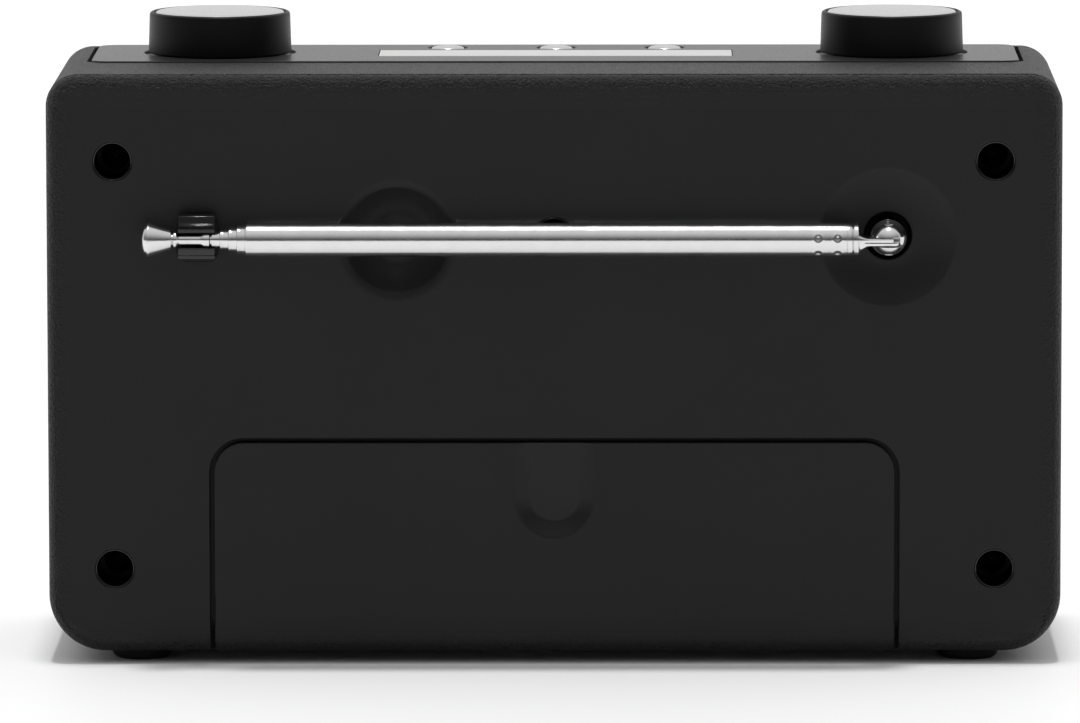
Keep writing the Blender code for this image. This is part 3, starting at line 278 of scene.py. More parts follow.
def soft_rims(obj, width, segments, angle):
    """Rounds the edges that turn by more than the angle."""
    bevel = obj.modifiers.new("rims", "BEVEL")
    bevel.width = width
    bevel.segments = segments
    bevel.limit_method = "ANGLE"
    bevel.angle_limit = radians(angle)
    apply_all(obj)


def mm(*points, along=0.0):
    """Profile points given as millimetres of radius and of height from a level."""
    return [(radius * MM, along + height * MM) for radius, height in points]


def block(x0, x1, z0, z1, corner, start, end, axis=1, steps=14):
    """A cutter or a core with straight sides, between two levels along its axis."""
    levels = [(start, 0), (end, 0)]
    return lambda bm: slab(bm, x0, x1, z0, z1, corner, levels, axis, steps)


def hole(profile, place, axis="Y", steps=72):
    """A cutter turned from a profile."""
    return lambda bm: lathe(bm, profile, place, axis, steps)


def drill(radius, bottom, top, place, axis="Y", steps=72):
    """A plain round cutter."""
    return hole([(0, bottom), (radius, bottom), (radius, top), (0, top)], place, axis, steps)


def flared(radius, lip, bottom, top):
    """A straight bore whose mouth is rounded out by lip, from bottom to above the face at 0."""
    mouth = [(radius + lip * (1 - cos(a)), -lip + lip * sin(a)) for a in arc(6)]
    return [(0, bottom), (radius, bottom), *mouth, (radius + lip, top), (0, top)]


# Materials

RANGE_SOCKETS = ("From Min", "From Max", "To Min", "To Max")


class Look:
    """A Principled material with its nodes made by short calls."""

    def __init__(self, name, color, roughness, metallic=0.0, specular=0.5, coat=0.0):
        self.material = bpy.data.materials.new(name)
        self.material.use_nodes = True
        self.tree = self.material.node_tree
        self.shader = self.tree.nodes["Principled BSDF"]
        self.set("Base Color", (*color, 1.0))
        self.set("Roughness", roughness)
        self.set("Metallic", metallic)
        self.set("Specular IOR Level", specular)
        self.set("Coat Weight", coat)
        self.coords = self.tree.nodes.new("ShaderNodeTexCoord").outputs["Object"]
        self.last_bump = None

    def set(self, socket, value):
        self.shader.inputs[socket].default_value = value

    def link(self, a, b):
        self.tree.links.new(a, b)

    def add(self, kind, **inputs):
        node = self.tree.nodes.new(kind)
        for key, value in inputs.items():
            node.inputs[key.replace("_", " ")].default_value = value
        return node

    def noise(self, scale, detail=3.0):
        node = self.add("ShaderNodeTexNoise", Scale=scale, Detail=detail)
        self.link(self.coords, node.inputs["Vector"])
        return node.outputs["Fac"]

    def cells(self, scale):
        node = self.add("ShaderNodeTexVoronoi", Scale=scale)
        node.feature = "DISTANCE_TO_EDGE"
        self.link(self.coords, node.inputs["Vector"])
        return node.outputs["Distance"]

    def spread(self, source, low, high, to_low=0.0, to_high=1.0):
        node = self.tree.nodes.new("ShaderNodeMapRange")
        for key, value in zip(RANGE_SOCKETS, (low, high, to_low, to_high)):
            node.inputs[key].default_value = value
        self.link(source, node.inputs["Value"])
        return node.outputs["Result"]

    def noise_range(self, source, to_low=0.0, to_high=1.0):
        """Spreads the middle part of a noise, where most of its values lie."""
        return self.spread(source, 0.3, 0.7, to_low, to_high)

    def operate(self, operation, a, b):
        node = self.tree.nodes.new("ShaderNodeMath")
        node.operation = operation
        self.link(a, node.inputs[0])
        self.link(b, node.inputs[1])
        return node.outputs[0]

    def axis(self, letter):
        node = self.tree.nodes.new("ShaderNodeSeparateXYZ")
        self.link(self.coords, node.inputs[0])
        return node.outputs[letter]

    def rough(self, source):
        self.link(source, self.shader.inputs["Roughness"])

    def tint(self, source, dark, light):
        """The base colour runs from dark to light with the source."""
        ramp = self.tree.nodes.new("ShaderNodeValToRGB")
        ramp.color_ramp.elements[0].color = (*dark, 1.0)
        ramp.color_ramp.elements[1].color = (*light, 1.0)
        self.link(source, ramp.inputs["Fac"])
        self.link(ramp.outputs["Color"], self.shader.inputs["Base Color"])

    def bump(self, height, distance):
        node = self.tree.nodes.new("ShaderNodeBump")
        node.inputs["Distance"].default_value = distance
        node.inputs["Strength"].default_value = 1.0
        self.link(height, node.inputs["Height"])
        if self.last_bump:
            self.link(self.last_bump.outputs["Normal"], node.inputs["Normal"])
        self.last_bump = node
        self.link(node.outputs["Normal"], self.shader.inputs["Normal"])


def speckled(
    name, color, roughness, metallic=0.0, specular=0.5, scale=900, depth=0.01, spread=0.25
):
    """A moulded or cast finish: noise in colour, roughness and height, depth in millimetres."""
    look = Look(name, color, roughness, metallic, specular)
    noise = look.noise(scale, 4.0)
    look.tint(
        look.noise_range(noise),
        tuple(c * (1 - spread) for c in color),
        tuple(min(c * (1 + spread), 1.0) for c in color),
    )
    look.rough(look.noise_range(noise, roughness * 0.88, min(roughness * 1.12, 1.0)))
    look.bump(noise, depth * MM)
    return look.material


def shell_look(name, color, specular, rim_only):
    """Black moulded case with a leather-like grain, which the rear face has at its rim only."""
    look = Look(name, color, 0.5, specular=specular)
    pores = look.spread(look.cells(1500), 0.0, 0.3)
    wrinkle = look.noise(1700)
    if rim_only:
        x, y, z = look.axis("X"), look.axis("Y"), look.axis("Z")
        near, far = 3.2 * MM, 6.5 * MM
        sides = (
            look.spread(x, HALF_WIDTH - far, HALF_WIDTH - near),
            look.spread(x, -HALF_WIDTH + far, -HALF_WIDTH + near),
            look.spread(z, BODY_TOP - far, BODY_TOP - near),
            look.spread(z, BODY_BOTTOM + far, BODY_BOTTOM + near),
        )
        rim = sides[0]
        for side in sides[1:]:
            rim = look.operate("MAXIMUM", rim, side)
        behind = look.spread(y, REAR_Y + 0.1 * MM, REAR_Y - 0.8 * MM)
        edge = look.operate("MULTIPLY", rim, behind)
        pores = look.operate("MULTIPLY", pores, edge)
        wrinkle = look.operate("MULTIPLY", wrinkle, edge)
    look.bump(pores, 0.24 * MM)
    look.bump(wrinkle, 1.3 * MM if rim_only else 0.75 * MM)
    fine = look.noise(2600)
    look.bump(fine, 0.008 * MM)
    cloud = look.noise_range(look.noise(35))
    look.tint(cloud, tuple(c * 0.88 for c in color), tuple(c * 1.12 for c in color))
    look.rough(look.noise_range(fine, 0.44, 0.54))
    return look.material


SHELL = shell_look("shell_rear", (0.0056, 0.0056, 0.0058), 0.3, True)
CASE = shell_look("shell_case", (0.0125, 0.0125, 0.0127), 0.6, False)
PLATE = speckled("plate_plastic", (0.0175, 0.0175, 0.018), 0.32, scale=1600, depth=0.002,
    spread=0.08)
KNOB = speckled("knob_plastic", (0.003, 0.003, 0.0031), 0.4, specular=0.18, scale=2200,
    depth=0.003, spread=0.15)
GLOSS = speckled("gloss_plastic", (0.006, 0.006, 0.006), 0.14, scale=500, depth=0.001,
    spread=0.1)
RUBBER = speckled("foot_rubber", (0.010, 0.010, 0.010), 0.85, specular=0.25, scale=1500,
    depth=0.02)
GRILLE_BLACK = speckled("grille_plastic", (0.016, 0.016, 0.0165), 0.42, scale=1500, depth=0.006,
    spread=0.12)
CHROME = speckled("chrome", (0.72, 0.72, 0.725), 0.17, metallic=1.0, scale=350, depth=0.0006,
    spread=0.03)
STEEL = speckled("zinc_steel", (0.42, 0.42, 0.43), 0.38, metallic=1.0, depth=0.004)
# Steel darkened to near-black: painted shade for the screws at the bottom of their deep wells
# and for the bushing in the swivel's bore
PAINTED_SHADE_STEEL = speckled("painted_shade_steel", (0.006, 0.006, 0.006), 0.5, metallic=1.0, depth=0.004)
# A darker copy of the chrome: painted shade for the aerial head below its dome
PAINTED_SHADE_CHROME = speckled("painted_shade_chrome", (0.05, 0.05, 0.052), 0.16, metallic=1.0, scale=350,
    depth=0.0006, spread=0.03)
NICKEL = speckled("nickel", (0.66, 0.63, 0.57), 0.3, metallic=1.0, scale=1200, depth=0.003)
INNER = speckled("inner_plastic", (0.016, 0.016, 0.017), 0.55, scale=1200)
PAPER = speckled("cone_paper", (0.013, 0.013, 0.013), 0.9, specular=0.2, scale=1900, depth=0.05,
    spread=0.5)
BOARD = speckled("board_green", (0.015, 0.10, 0.035), 0.42, scale=600)
WIRE_RED = speckled("wire_red", (0.35, 0.02, 0.02), 0.5, scale=800, depth=0.005)
WIRE_GREY = speckled("wire_grey", (0.18, 0.18, 0.18), 0.5, scale=800, depth=0.005)
CELL = speckled("display_cell", (0.55, 0.56, 0.55), 0.3, depth=0.001, spread=0.03)


def finish(obj, material, body, slot, *replaced, keep_flat=False):
    """Gives a piece its finish and body, and hides the CAD nodes it stands for."""
    obj.data.materials.clear()
    obj.data.materials.append(material)
    if keep_flat:
        weighted(obj)
    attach(obj, body)
    if replaced:
        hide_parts(*replaced)


# Rear cover

# The cover stands back from the cabinet by this step, all round
STEP = 0.15 * MM
WELL_RADIUS = 3.95 * MM
WELL_DEPTH = 14.6 * MM
DOOR_OPENING = 0.9 * MM
DISH_RADIUS = 12.5 * MM
DISH_DEPTH = 4.8 * MM
BOWL_RADIUS = 14.2 * MM
BOWL_DEPTH = 2.4 * MM
BORE = 4.75 * MM
FACE_JOIN = -1.9 * MM
SCREW_TUBE = 5.4 * MM
CLIP_HALF = (4.1 * MM, 5.0 * MM)
RUNWAY_X = 71.3 * MM
UNDERSIDE = -20 * MM


def dish_profile(radius, depth, floor, lip=0.7 * MM, steps=16):
    """A flat floor that rises in a smooth curve to a softly rounded rim."""
    points = [(0, -depth), (floor, -depth)]
    for k in range(1, steps + 1):
        t = k / steps
        rise = (depth - lip * 0.35) * t**2 * (1.6 - 0.6 * t)
        points.append((floor + (radius - lip - floor) * t, -depth + rise))
    wide = radius + 0.35 * MM
    points += [(radius, 0.0), (wide, 0.03 * MM), (wide, MM), (0, MM)]
    return points


def make_cover():
    """The rear cover: a hollow tray with screw wells, two dishes and the battery doorway."""
    face = COVER_Y + SEAM
    bm = bmesh.new()
    slab(
        bm, -HALF_WIDTH, HALF_WIDTH, BODY_BOTTOM, BODY_TOP, CORNER,
        edge_levels(face, REAR_Y, 0.45 * MM, REAR_ROUND - STEP, steps=10, inset=STEP), steps=18,
    )
    cover = make("shell_cover", bm)
    inner = REAR_Y - WALL
    pocket = block(
        -HALF_WIDTH + 4 * MM, HALF_WIDTH - 4 * MM, BODY_BOTTOM + 4 * MM, BODY_TOP - 4.3 * MM,
        (7.5 * MM, 3 * MM), face - 3 * MM, inner,
    )
    carve(cover, pocket)
    # Tubes for the screws, and the backs of the two dishes, reach into the rear wall
    tubes = [
        drill(SCREW_TUBE, -WELL_DEPTH - 1.2 * MM, FACE_JOIN, (x, REAR_Y, z), steps=48)
        for x, z in WELLS
    ]
    backs = [
        hole(mm((0, -6.2), (9.4, -6.2), (14, -1.9), (0, -1.9)), DISH_PLACE),
        hole(mm((0, -11.3), (6.6, -11.3), (6.6, -4.9), (15, -1.9), (0, -1.9)), SWIVEL_PLACE),
    ]
    join(cover, *tubes)
    join(cover, *backs)

    clip_x = (CLIP_LOW.x + CLIP_HIGH.x) / 2
    clip_pocket = block(
        clip_x - CLIP_HALF[0], clip_x + CLIP_HALF[0], AERIAL_Z - CLIP_HALF[1],
        AERIAL_Z + CLIP_HALF[1],
        2.05 * MM, REAR_Y - 3.2 * MM, REAR_Y + MM, steps=8,
    )

    def doorway(bm):
        gap = DOOR_OPENING
        slab(
            bm, DOOR_X0 - gap, DOOR_X1 + gap, UNDERSIDE, DOOR_HIGH_Z + gap, 6 * MM + gap,
            [
                (face - 5 * MM, 0), (REAR_Y - 0.3 * MM, 0), (REAR_Y - 0.1 * MM, -0.08 * MM),
                (REAR_Y + 0.05 * MM, -0.3 * MM), (REAR_Y + MM, -0.3 * MM),
            ],
            steps=12,
        )

    runway = block(
        -RUNWAY_X, RUNWAY_X, UNDERSIDE, 15 * MM, 0.3 * MM, face - 5 * MM, inner, steps=2,
    )
    well = flared(WELL_RADIUS, 0.35 * MM, -WELL_DEPTH, MM)
    bores = [hole(well, (x, REAR_Y, z)) for x, z in WELLS]
    carve(cover, *bores, clip_pocket)
    carve(
        cover,
        hole(dish_profile(DISH_RADIUS, DISH_DEPTH, 4.5 * MM, 1.7 * MM), DISH_PLACE, steps=96),
        hole(dish_profile(BOWL_RADIUS, BOWL_DEPTH, 5.2 * MM), SWIVEL_PLACE, steps=96),
    )
    carve(
        cover,
        hole(flared(BORE, 0.3 * MM, -9 * MM, MM), (SWIVEL_X, REAR_Y - BOWL_DEPTH, AERIAL_Z)),
        doorway, runway,
    )
    shade(cover)
    finish(cover, SHELL, RADIO, "shell_black", "rear_cover", keep_flat=True)


DOOR_X1 = 68.75 * MM
DOOR_X0 = -DOOR_X1
DOOR_HIGH_Z = 45.2 * MM
DOOR_RIM = 0.28 * MM
DOOR_BACK = COVER_Y + 0.3 * MM
DOOR_FOOT = BODY_BOTTOM + 12 * MM
SCOOP_RADIUS = 7.9 * MM
SCOOP_Z = 33.9 * MM
SCOOP_DEPTH = 2.2
# Each ring's share of the depth, its growth beyond the floor and its lift above the face
SCOOP_RINGS = (
    (1.0, -2.6, 0), (0.9, -1.9, 0), (0.55, -0.7, 0), (0.2, 0.4, 0), (0.0, 1.1, 0.02),
    (-0.6, 1.1, 1),
)


def make_door():
    """The door's outer panel, its flanges and the thumb scoop."""
    bm = bmesh.new()
    levels = edge_levels(DOOR_BACK, REAR_Y, 0.0, DOOR_RIM, steps=4)
    slab(bm, DOOR_X0, DOOR_X1, BODY_BOTTOM, DOOR_HIGH_Z, 6 * MM, levels, steps=14)
    door = make("door_panel", bm)

    def square_foot(bm):
        """The lower corners are square, and their rear edge follows the case's rounded rim."""
        rings = []
        r = REAR_ROUND
        for x, inset in (
            (DOOR_X0, DOOR_RIM), (DOOR_X0 + DOOR_RIM, 0), (DOOR_X1 - DOOR_RIM, 0),
            (DOOR_X1, DOOR_RIM),
        ):
            ring = [(x, DOOR_BACK, DOOR_FOOT), (x, DOOR_BACK, BODY_BOTTOM + inset)]
            for a in arc(10):
                ring.append((
                    x,
                    REAR_Y - r + (r - inset) * sin(a),
                    BODY_BOTTOM + r - (r - inset) * cos(a),
                ))
            ring.append((x, REAR_Y - inset, DOOR_FOOT))
            rings.append(ring)
        loft(bm, rings)

    cut_foot = block(
        DOOR_X0 - MM, DOOR_X1 + MM, BODY_BOTTOM - MM, BODY_BOTTOM + 11.9 * MM, 0.1 * MM,
        COVER_Y - MM, REAR_Y + MM, steps=1,
    )
    carve(door, cut_foot)
    join(door, square_foot)
    inner = REAR_Y - WALL
    hollow = block(
        DOOR_X0 - MM, DOOR_X1 + MM, BODY_BOTTOM + 2.2 * MM, DOOR_HIGH_Z + MM, 0.1 * MM, COVER_Y,
        inner, steps=1,
    )
    core = block(
        DOOR_X0 + 2 * MM, DOOR_X1 - 2 * MM, BODY_BOTTOM + 1.2 * MM, DOOR_HIGH_Z - 6 * MM,
        0.5 * MM, inner - 1.4 * MM, inner + 0.5 * MM, steps=2,
    )
    flange = block(
        DOOR_LOW.x, DOOR_HIGH.x, BODY_BOTTOM + 0.6 * MM, DOOR_HIGH.z, 0.6 * MM,
        inner - 1.6 * MM, inner - 0.3 * MM, steps=3,
    )
    carve(door, hollow)
    join(door, core, flange)

    def scoop(bm):
        """A channel that deepens downwards to a half-round wall, wider at the top."""
        rings = []
        top = DOOR_HIGH_Z + 1.2 * MM
        rise = DOOR_HIGH_Z + 2 * MM - SCOOP_Z
        for share, grow, lift in SCOOP_RINGS:
            half = SCOOP_RADIUS - 0.6 * MM + grow * MM
            below = [pi + pi * k / 32 for k in range(33)]
            ring = [(half * cos(a), SCOOP_Z + half * sin(a)) for a in below]
            ring += [(half, SCOOP_Z + k / 16 * rise) for k in range(17)]
            ring += [(-half, SCOOP_Z + (1 - k / 16) * rise) for k in range(17)]
            points = []
            for x, z in ring:
                run = (top - z) / (top - SCOOP_Z + half)
                deep = max(run, -0.05) * SCOOP_DEPTH * MM
                points.append((x, REAR_Y - deep * share + lift * MM, z))
            rings.append(points)
        loft(bm, rings)

    carve(door, scoop)
    shade(door)
    finish(door, SHELL, "battery_cover", "shell_black", "battery_door", keep_flat=True)


# Cabinet and top plate

# The seat is longer than the plate by this gap at each end
END_GAP = 0.9 * MM
SHAFT_HOLE = 4.7 * MM
BUTTON_HOLE = 4.1 * MM
SPEAKER_HOLE = 31.5 * MM
FOOT_RECESS = 6.5 * MM
SHAFTS = ("volume_shaft", "tuning_shaft")
BUTTONS = ("button_left", "button_middle", "button_right")


def make_cabinet():
    """The case without its rear: a hollow box with seats for the grille and the top plate."""
    bm = bmesh.new()
    rear = COVER_Y - SEAM
    levels = [
        (FRONT_Y + FRONT_ROUND - FRONT_ROUND * cos(a), FRONT_ROUND * (1 - sin(a)))
        for a in arc(8)
    ]
    levels += [(rear - 0.2 * MM, 0.0), (rear - 0.06 * MM, 0.06 * MM), (rear, 0.2 * MM)]
    slab(bm, -HALF_WIDTH, HALF_WIDTH, BODY_BOTTOM, BODY_TOP, CORNER, levels, steps=18)
    cabinet = make("shell_cabinet", bm)
    inside = block(
        -HALF_WIDTH + 2.5 * MM, HALF_WIDTH - 2.5 * MM, BODY_BOTTOM + 2.5 * MM,
        BODY_TOP - 2.8 * MM, (9 * MM, 4 * MM), FRONT_Y + 3.6 * MM, rear + MM,
    )

    def grille_seat(bm):
        mouth = [
            (FRONT_Y - MM, -0.3 * MM), (FRONT_Y, -0.3 * MM), (FRONT_Y + 0.1 * MM, -0.1 * MM),
            (FRONT_Y + 0.3 * MM, 0), (FRONT_Y + 1.6 * MM, 0),
        ]
        panel(bm, (GRILLE_LOW, GRILLE_HIGH), 5.3 * MM, mouth, 0.3 * MM, axis=1)

    gap = 0.3 * MM
    plate_seat = block(
        PLATE_LOW.x - END_GAP, PLATE_HIGH.x + END_GAP, PLATE_LOW.y - gap, PLATE_HIGH.y + gap,
        4.2 * MM, PLATE_LOW.z - gap, BODY_TOP + MM, axis=2, steps=10,
    )

    def end_groove(side):
        """A deeper groove in the seat, beyond one end of the plate."""
        inner, outer = PLATE_HIGH.x - 1.2 * MM, PLATE_HIGH.x + END_GAP
        x0, x1 = sorted((side * inner, side * outer))
        return block(
            x0, x1, PLATE_LOW.y + 2.5 * MM, PLATE_HIGH.y - 2.2 * MM, 0.5 * MM,
            PLATE_LOW.z - 1.7 * MM, BODY_TOP + MM, axis=2, steps=4,
        )

    speaker = middle("speaker_cone")
    carve(cabinet, inside)
    carve(cabinet, grille_seat, plate_seat)
    carve(cabinet, end_groove(1), end_groove(-1))
    holes = [drill(SPEAKER_HOLE, -MM, 6 * MM, (speaker.x, FRONT_Y, speaker.z), steps=96)]
    for node in (*SHAFTS, *BUTTONS):
        spot = middle(node)
        radius = SHAFT_HOLE if node in SHAFTS else BUTTON_HOLE
        holes.append(drill(radius, -8 * MM, 4 * MM, (spot.x, spot.y, BODY_TOP), "Z", 48))
    for node, radius in (("dc_socket", 4.5), ("headphone_socket", 3.3)):
        spot = middle(node)
        wide = radius * MM + 0.25 * MM
        mouth = [(0, -MM), (wide, -MM), (wide, 0), *mm((radius, 0.25), (radius, 5), (0, 5))]
        holes.append(hole(mouth, (-HALF_WIDTH, spot.y, spot.z), "X", 56))
    for n in range(1, 5):
        spot = middle(f"foot_{n}")
        holes.append(drill(FOOT_RECESS, -MM, 1.5 * MM, (spot.x, spot.y, BODY_BOTTOM), "Z", 56))

    def window_hole(bm):
        levels = [(BODY_TOP - 8 * MM, 0), (BODY_TOP + 4 * MM, 0)]
        panel(bm, (WINDOW_LOW, WINDOW_HIGH), 0.5 * MM, levels, -1.8 * MM, steps=3)

    carve(cabinet, *holes, window_hole)
    shade(cabinet)
    finish(cabinet, CASE, RADIO, "shell_black", "cabinet", keep_flat=True)


def make_plate():
    """The smooth panel let into the top, with seats for the knobs, the keys and the display."""
    bm = bmesh.new()
    top = PLATE_HIGH.z
    levels = [
        (PLATE_LOW.z, 0), (top - 0.22 * MM, 0), (top - 0.06 * MM, 0.06 * MM), (top, 0.2 * MM),
    ]
    panel(bm, (PLATE_LOW, PLATE_HIGH), 3.6 * MM, levels, steps=12)
    plate = make("top_panel", bm)
    cuts = []
    for node in SHAFTS:
        spot = middle(node)
        seat = mm((0, -0.7), (15.5, -0.7), (15.6, -0.1), (15.75, 0.05), (15.75, 1), (0, 1))
        cuts.append(hole(seat, (spot.x, spot.y, top), "Z", 96))
        cuts.append(drill(SHAFT_HOLE, -3 * MM, 2 * MM, (spot.x, spot.y, top), "Z", 48))
    for node in BUTTONS:
        spot = middle(node)
        mouth = mm((0, -3.3), (4.1, -3.3), (4.1, -0.2), (4.6, 0.3), (0, 0.3))
        cuts.append(hole(mouth, (spot.x, spot.y, top), "Z", 64))

    def window_cut(bm):
        levels = [(top - 3 * MM, 0), (top + MM, 0)]
        panel(bm, (WINDOW_LOW, WINDOW_HIGH), 0.4 * MM, levels, 0.15 * MM, steps=4)

    for cutter in (*cuts, window_cut):
        carve(plate, cutter)
    shade(plate)
    finish(plate, PLATE, RADIO, "plate_black", "top_plate", keep_flat=True)


# Screws, feet and sockets


def turned(
    name, profile, place, axis, material, body, slot, replaced,
    steps=64, soft=0.1 * MM, closed=False, sharp=35,
):
    """A turned piece with softened edges, and the list of CAD nodes it stands for."""
    bm = bmesh.new()
    if soft and not closed:
        profile = soften(profile, soft)
    lathe(bm, profile, place, axis, steps, closed)
    obj = make(name, bm, sharp)
    finish(obj, material, body, slot, *replaced)


def make_screws():
    """Pan heads with a cross recess."""
    seat = REAR_Y - WELL_DEPTH + 0.15 * MM
    head = [(0, 1.9), (1.0, 1.87), (1.8, 1.65), (2.5, 1.15), (2.85, 0.5), (2.9, 0), (1.4, 0)]
    thread = []
    for turn in range(12):
        level = -0.4 - 0.68 * turn
        thread += [(1.4, level), (1.05, level - 0.34)]
    profile = mm(*head, *thread, (0, -9.3))
    for number, (x, z) in enumerate(WELLS, start=1):
        bm = bmesh.new()
        lathe(bm, profile, (x, seat, z), "Y", 40)
        screw = make(f"well_screw_{number}", bm)

        def bar(turned_over):
            """One bar of the cross, which narrows downwards."""

            def build(bm):
                rings = []
                for level, share in ((0.75, 0.35), (2.4, 1.0)):
                    half = 0.24 * (0.7 + 0.3 * share)
                    long = 1.35 * share
                    ring = []
                    for u, v in ((-long, -half), (long, -half), (long, half), (-long, half)):
                        if turned_over:
                            u, v = -v, u
                        ring.append((x + u * MM, seat + level * MM, z + v * MM))
                    rings.append(ring)
                loft(bm, rings)

            return build

        carve(screw, bar(False))
        carve(screw, bar(True))
        shade(screw)
        # The screws take the near-black steel, as painted shade at the bottom of their deep
        # wells
        finish(screw, PAINTED_SHADE_STEEL, RADIO, "steel", f"rear_screw_{number}")


def make_well_lips():
    """A smooth moulded lip round the mouth of each screw well."""
    radius = WELL_RADIUS - 0.02 * MM
    inner = radius - 0.3 * MM
    curve = 0.25 * MM
    rim = [
        (inner + curve * (1 - sin(a)), -0.3 * MM + curve * cos(a) - 0.12 * MM)
        for a in arc(6)
    ]
    profile = [(radius, -2.4 * MM), *rim, (inner, -2.4 * MM)]
    for number, (x, z) in enumerate(WELLS, start=1):
        turned(f"well_lip_{number}", profile, (x, REAR_Y, z), "Y", GLOSS, RADIO,
            "gloss_black", [], steps=72, soft=0, closed=True)


def make_feet():
    """Round rubber feet, a little hollow underneath."""
    for n in range(1, 5):
        spot = middle(f"foot_{n}")
        low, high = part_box(f"foot_{n}")
        radius = (high.x - low.x) / 2
        profile = [
            (0, high.z), (radius, high.z), (radius, 1.5 * MM), (radius - 0.3 * MM, 0.6 * MM),
            (radius - 1.0 * MM, 0), (radius - 2.6 * MM, 0), (radius - 2.9 * MM, 0.25 * MM),
            (0, 0.25 * MM),
        ]
        turned(f"rubber_foot_{n}", profile, (spot.x, spot.y, 0), "Z", RUBBER, RADIO,
            "rubber", [f"foot_{n}"], soft=0.3 * MM)


def make_socket(node, name, nose, bore, pin):
    """A block on the socket board with a round nose that shows in the side wall."""
    low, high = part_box(node)
    wall = low.x
    place = (wall, (low.y + high.y) / 2, (low.z + high.z) / 2)
    floor = high.x - 3.5 * MM - wall
    bm = bmesh.new()
    slab(bm, low.y, high.y, low.z, high.z, 0.5 * MM, [(0, 0), (1, 0)], steps=3)
    for vert in bm.verts:
        y_old, level, z_old = vert.co
        vert.co = Vector((-HALF_WIDTH + 2.8 * MM if level < 0.5 else high.x, y_old, z_old))
    housing = make(name, bm)
    nose_profile = [
        (0, 0), (nose - 0.25 * MM, 0), (nose, 0.25 * MM), (nose, 4 * MM), (0, 4 * MM),
    ]
    join(housing, hole(nose_profile, place, "X", 64))
    wide = bore + 0.3 * MM
    bore_profile = [
        (0, -MM), (wide, -MM), (wide, 0.05 * MM), (bore, 0.4 * MM),
        (bore, floor), (0, floor),
    ]
    carve(housing, hole(bore_profile, place, "X", 64))
    shade(housing)
    finish(housing, GLOSS, RADIO, "gloss_black", node, keep_flat=True)
    outer, inner = bore - 0.02 * MM, bore - 0.22 * MM
    lining = [(outer, 0.7 * MM), (outer, 3.2 * MM), (inner, 3.2 * MM), (inner, 0.7 * MM)]
    turned(f"{name}_lining", lining, place, "X", NICKEL, RADIO, "nickel", [], soft=0,
        closed=True)
    if pin:
        end = floor + 0.2 * MM
        tip = [(0, 1.4 * MM), (pin * 0.6, 1.45 * MM), (pin, 2.0 * MM), (pin, end), (0, end)]
        turned(f"{name}_pin", tip, place, "X", NICKEL, RADIO, "nickel", [],
            soft=0.1 * MM, steps=32)


# Knobs, keys and display


def spun_material(name, x, y):
    """Spun metal: rings about the knob's own axis, in height and roughness."""
    look = Look(name, (0.66, 0.66, 0.67), 0.24, metallic=1.0)
    shift = look.add("ShaderNodeMapping", Location=(-x, -y, 0))
    look.link(look.coords, shift.inputs["Vector"])
    flat = look.add("ShaderNodeVectorMath")
    flat.operation = "MULTIPLY"
    flat.inputs[1].default_value = (1, 1, 0)
    look.link(shift.outputs[0], flat.inputs[0])
    length = look.add("ShaderNodeVectorMath")
    length.operation = "LENGTH"
    look.link(flat.outputs[0], length.inputs[0])
    rings = look.add("ShaderNodeTexNoise", Scale=9000, Detail=2.0)
    rings.noise_dimensions = "1D"
    look.link(length.outputs["Value"], rings.inputs["W"])
    look.bump(rings.outputs["Fac"], 0.0012 * MM)
    look.rough(look.noise_range(rings.outputs["Fac"], 0.16, 0.3))
    return look.material


def make_knob(node, cap_node, body):
    """A knob with a recessed top, and the spun metal disc that lies in it."""
    x, y, _ = middle(node)
    low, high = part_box(node)
    base = low.z
    top = high.z - base
    radius = (high.x - low.x) / 2
    upper = radius - 0.23 * MM
    seat = 13.45 * MM
    profile = [
        (0, top - 1.1 * MM), (seat, top - 1.1 * MM), (seat + 0.15 * MM, top - 0.05 * MM),
        (seat + 0.3 * MM, top), (upper - 0.55 * MM, top), (upper - 0.12 * MM, top - 0.25 * MM),
        (upper, top - 0.7 * MM), (radius, 0.25 * MM), (radius - 0.2 * MM, 0.0), (13.2 * MM, 0),
        *mm((13.0, -2.4), (5.5, -2.4), along=top),
        *mm((5.5, 2.2), (3.15, 2.2), (3.15, 6.5), (0, 6.5)),
    ]
    turned(f"{node}_body", profile, (x, y, base), "Z", KNOB, body, "plate_black", [node],
        steps=128, soft=0.12 * MM)
    cap_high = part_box(cap_node)[1].z - base
    radius = 13.3 * MM
    disc = [
        (0, cap_high), (radius * 0.55, cap_high - 0.03 * MM),
        (radius - 1.0 * MM, cap_high - 0.16 * MM), (radius - 0.35 * MM, cap_high - 0.3 * MM),
        (radius, cap_high - 0.62 * MM), (radius, top - 0.95 * MM), (0, top - 0.95 * MM),
    ]
    metal = spun_material(f"{cap_node}_metal", x, y)
    turned(
        f"{cap_node}_disc", disc, (x, y, base), "Z", metal, body, "brushed_cap", [cap_node],
        steps=128, soft=0.15 * MM,
    )


def make_keys():
    """Bright round keys, slightly domed, on stems that reach their switches."""
    for side in ("left", "middle", "right"):
        node = f"button_{side}"
        low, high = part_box(node)
        x, y = (low.x + high.x) / 2, (low.y + high.y) / 2
        top, drop = high.z, high.z - low.z
        collar = -drop + 2.4 * MM
        face = mm((0, 0), (1.4, -0.03), (2.6, -0.14), (3.2, -0.34), (3.5, -0.75))
        shoulder = mm((3.5, 0), (4.8, 0), along=collar + 0.9 * MM)
        stem = mm((4.8, 0), (1.5, 0), along=collar) + mm((1.5, 0), (0, 0), along=-drop)
        profile = [*face, *shoulder, *stem]
        metal = spun_material(f"key_{side}_metal", x, y)
        turned(
            f"key_{side}_cap", profile, (x, y, top), "Z", metal, f"key_{side}", "chrome",
            [node], steps=96, soft=0.12 * MM,
        )


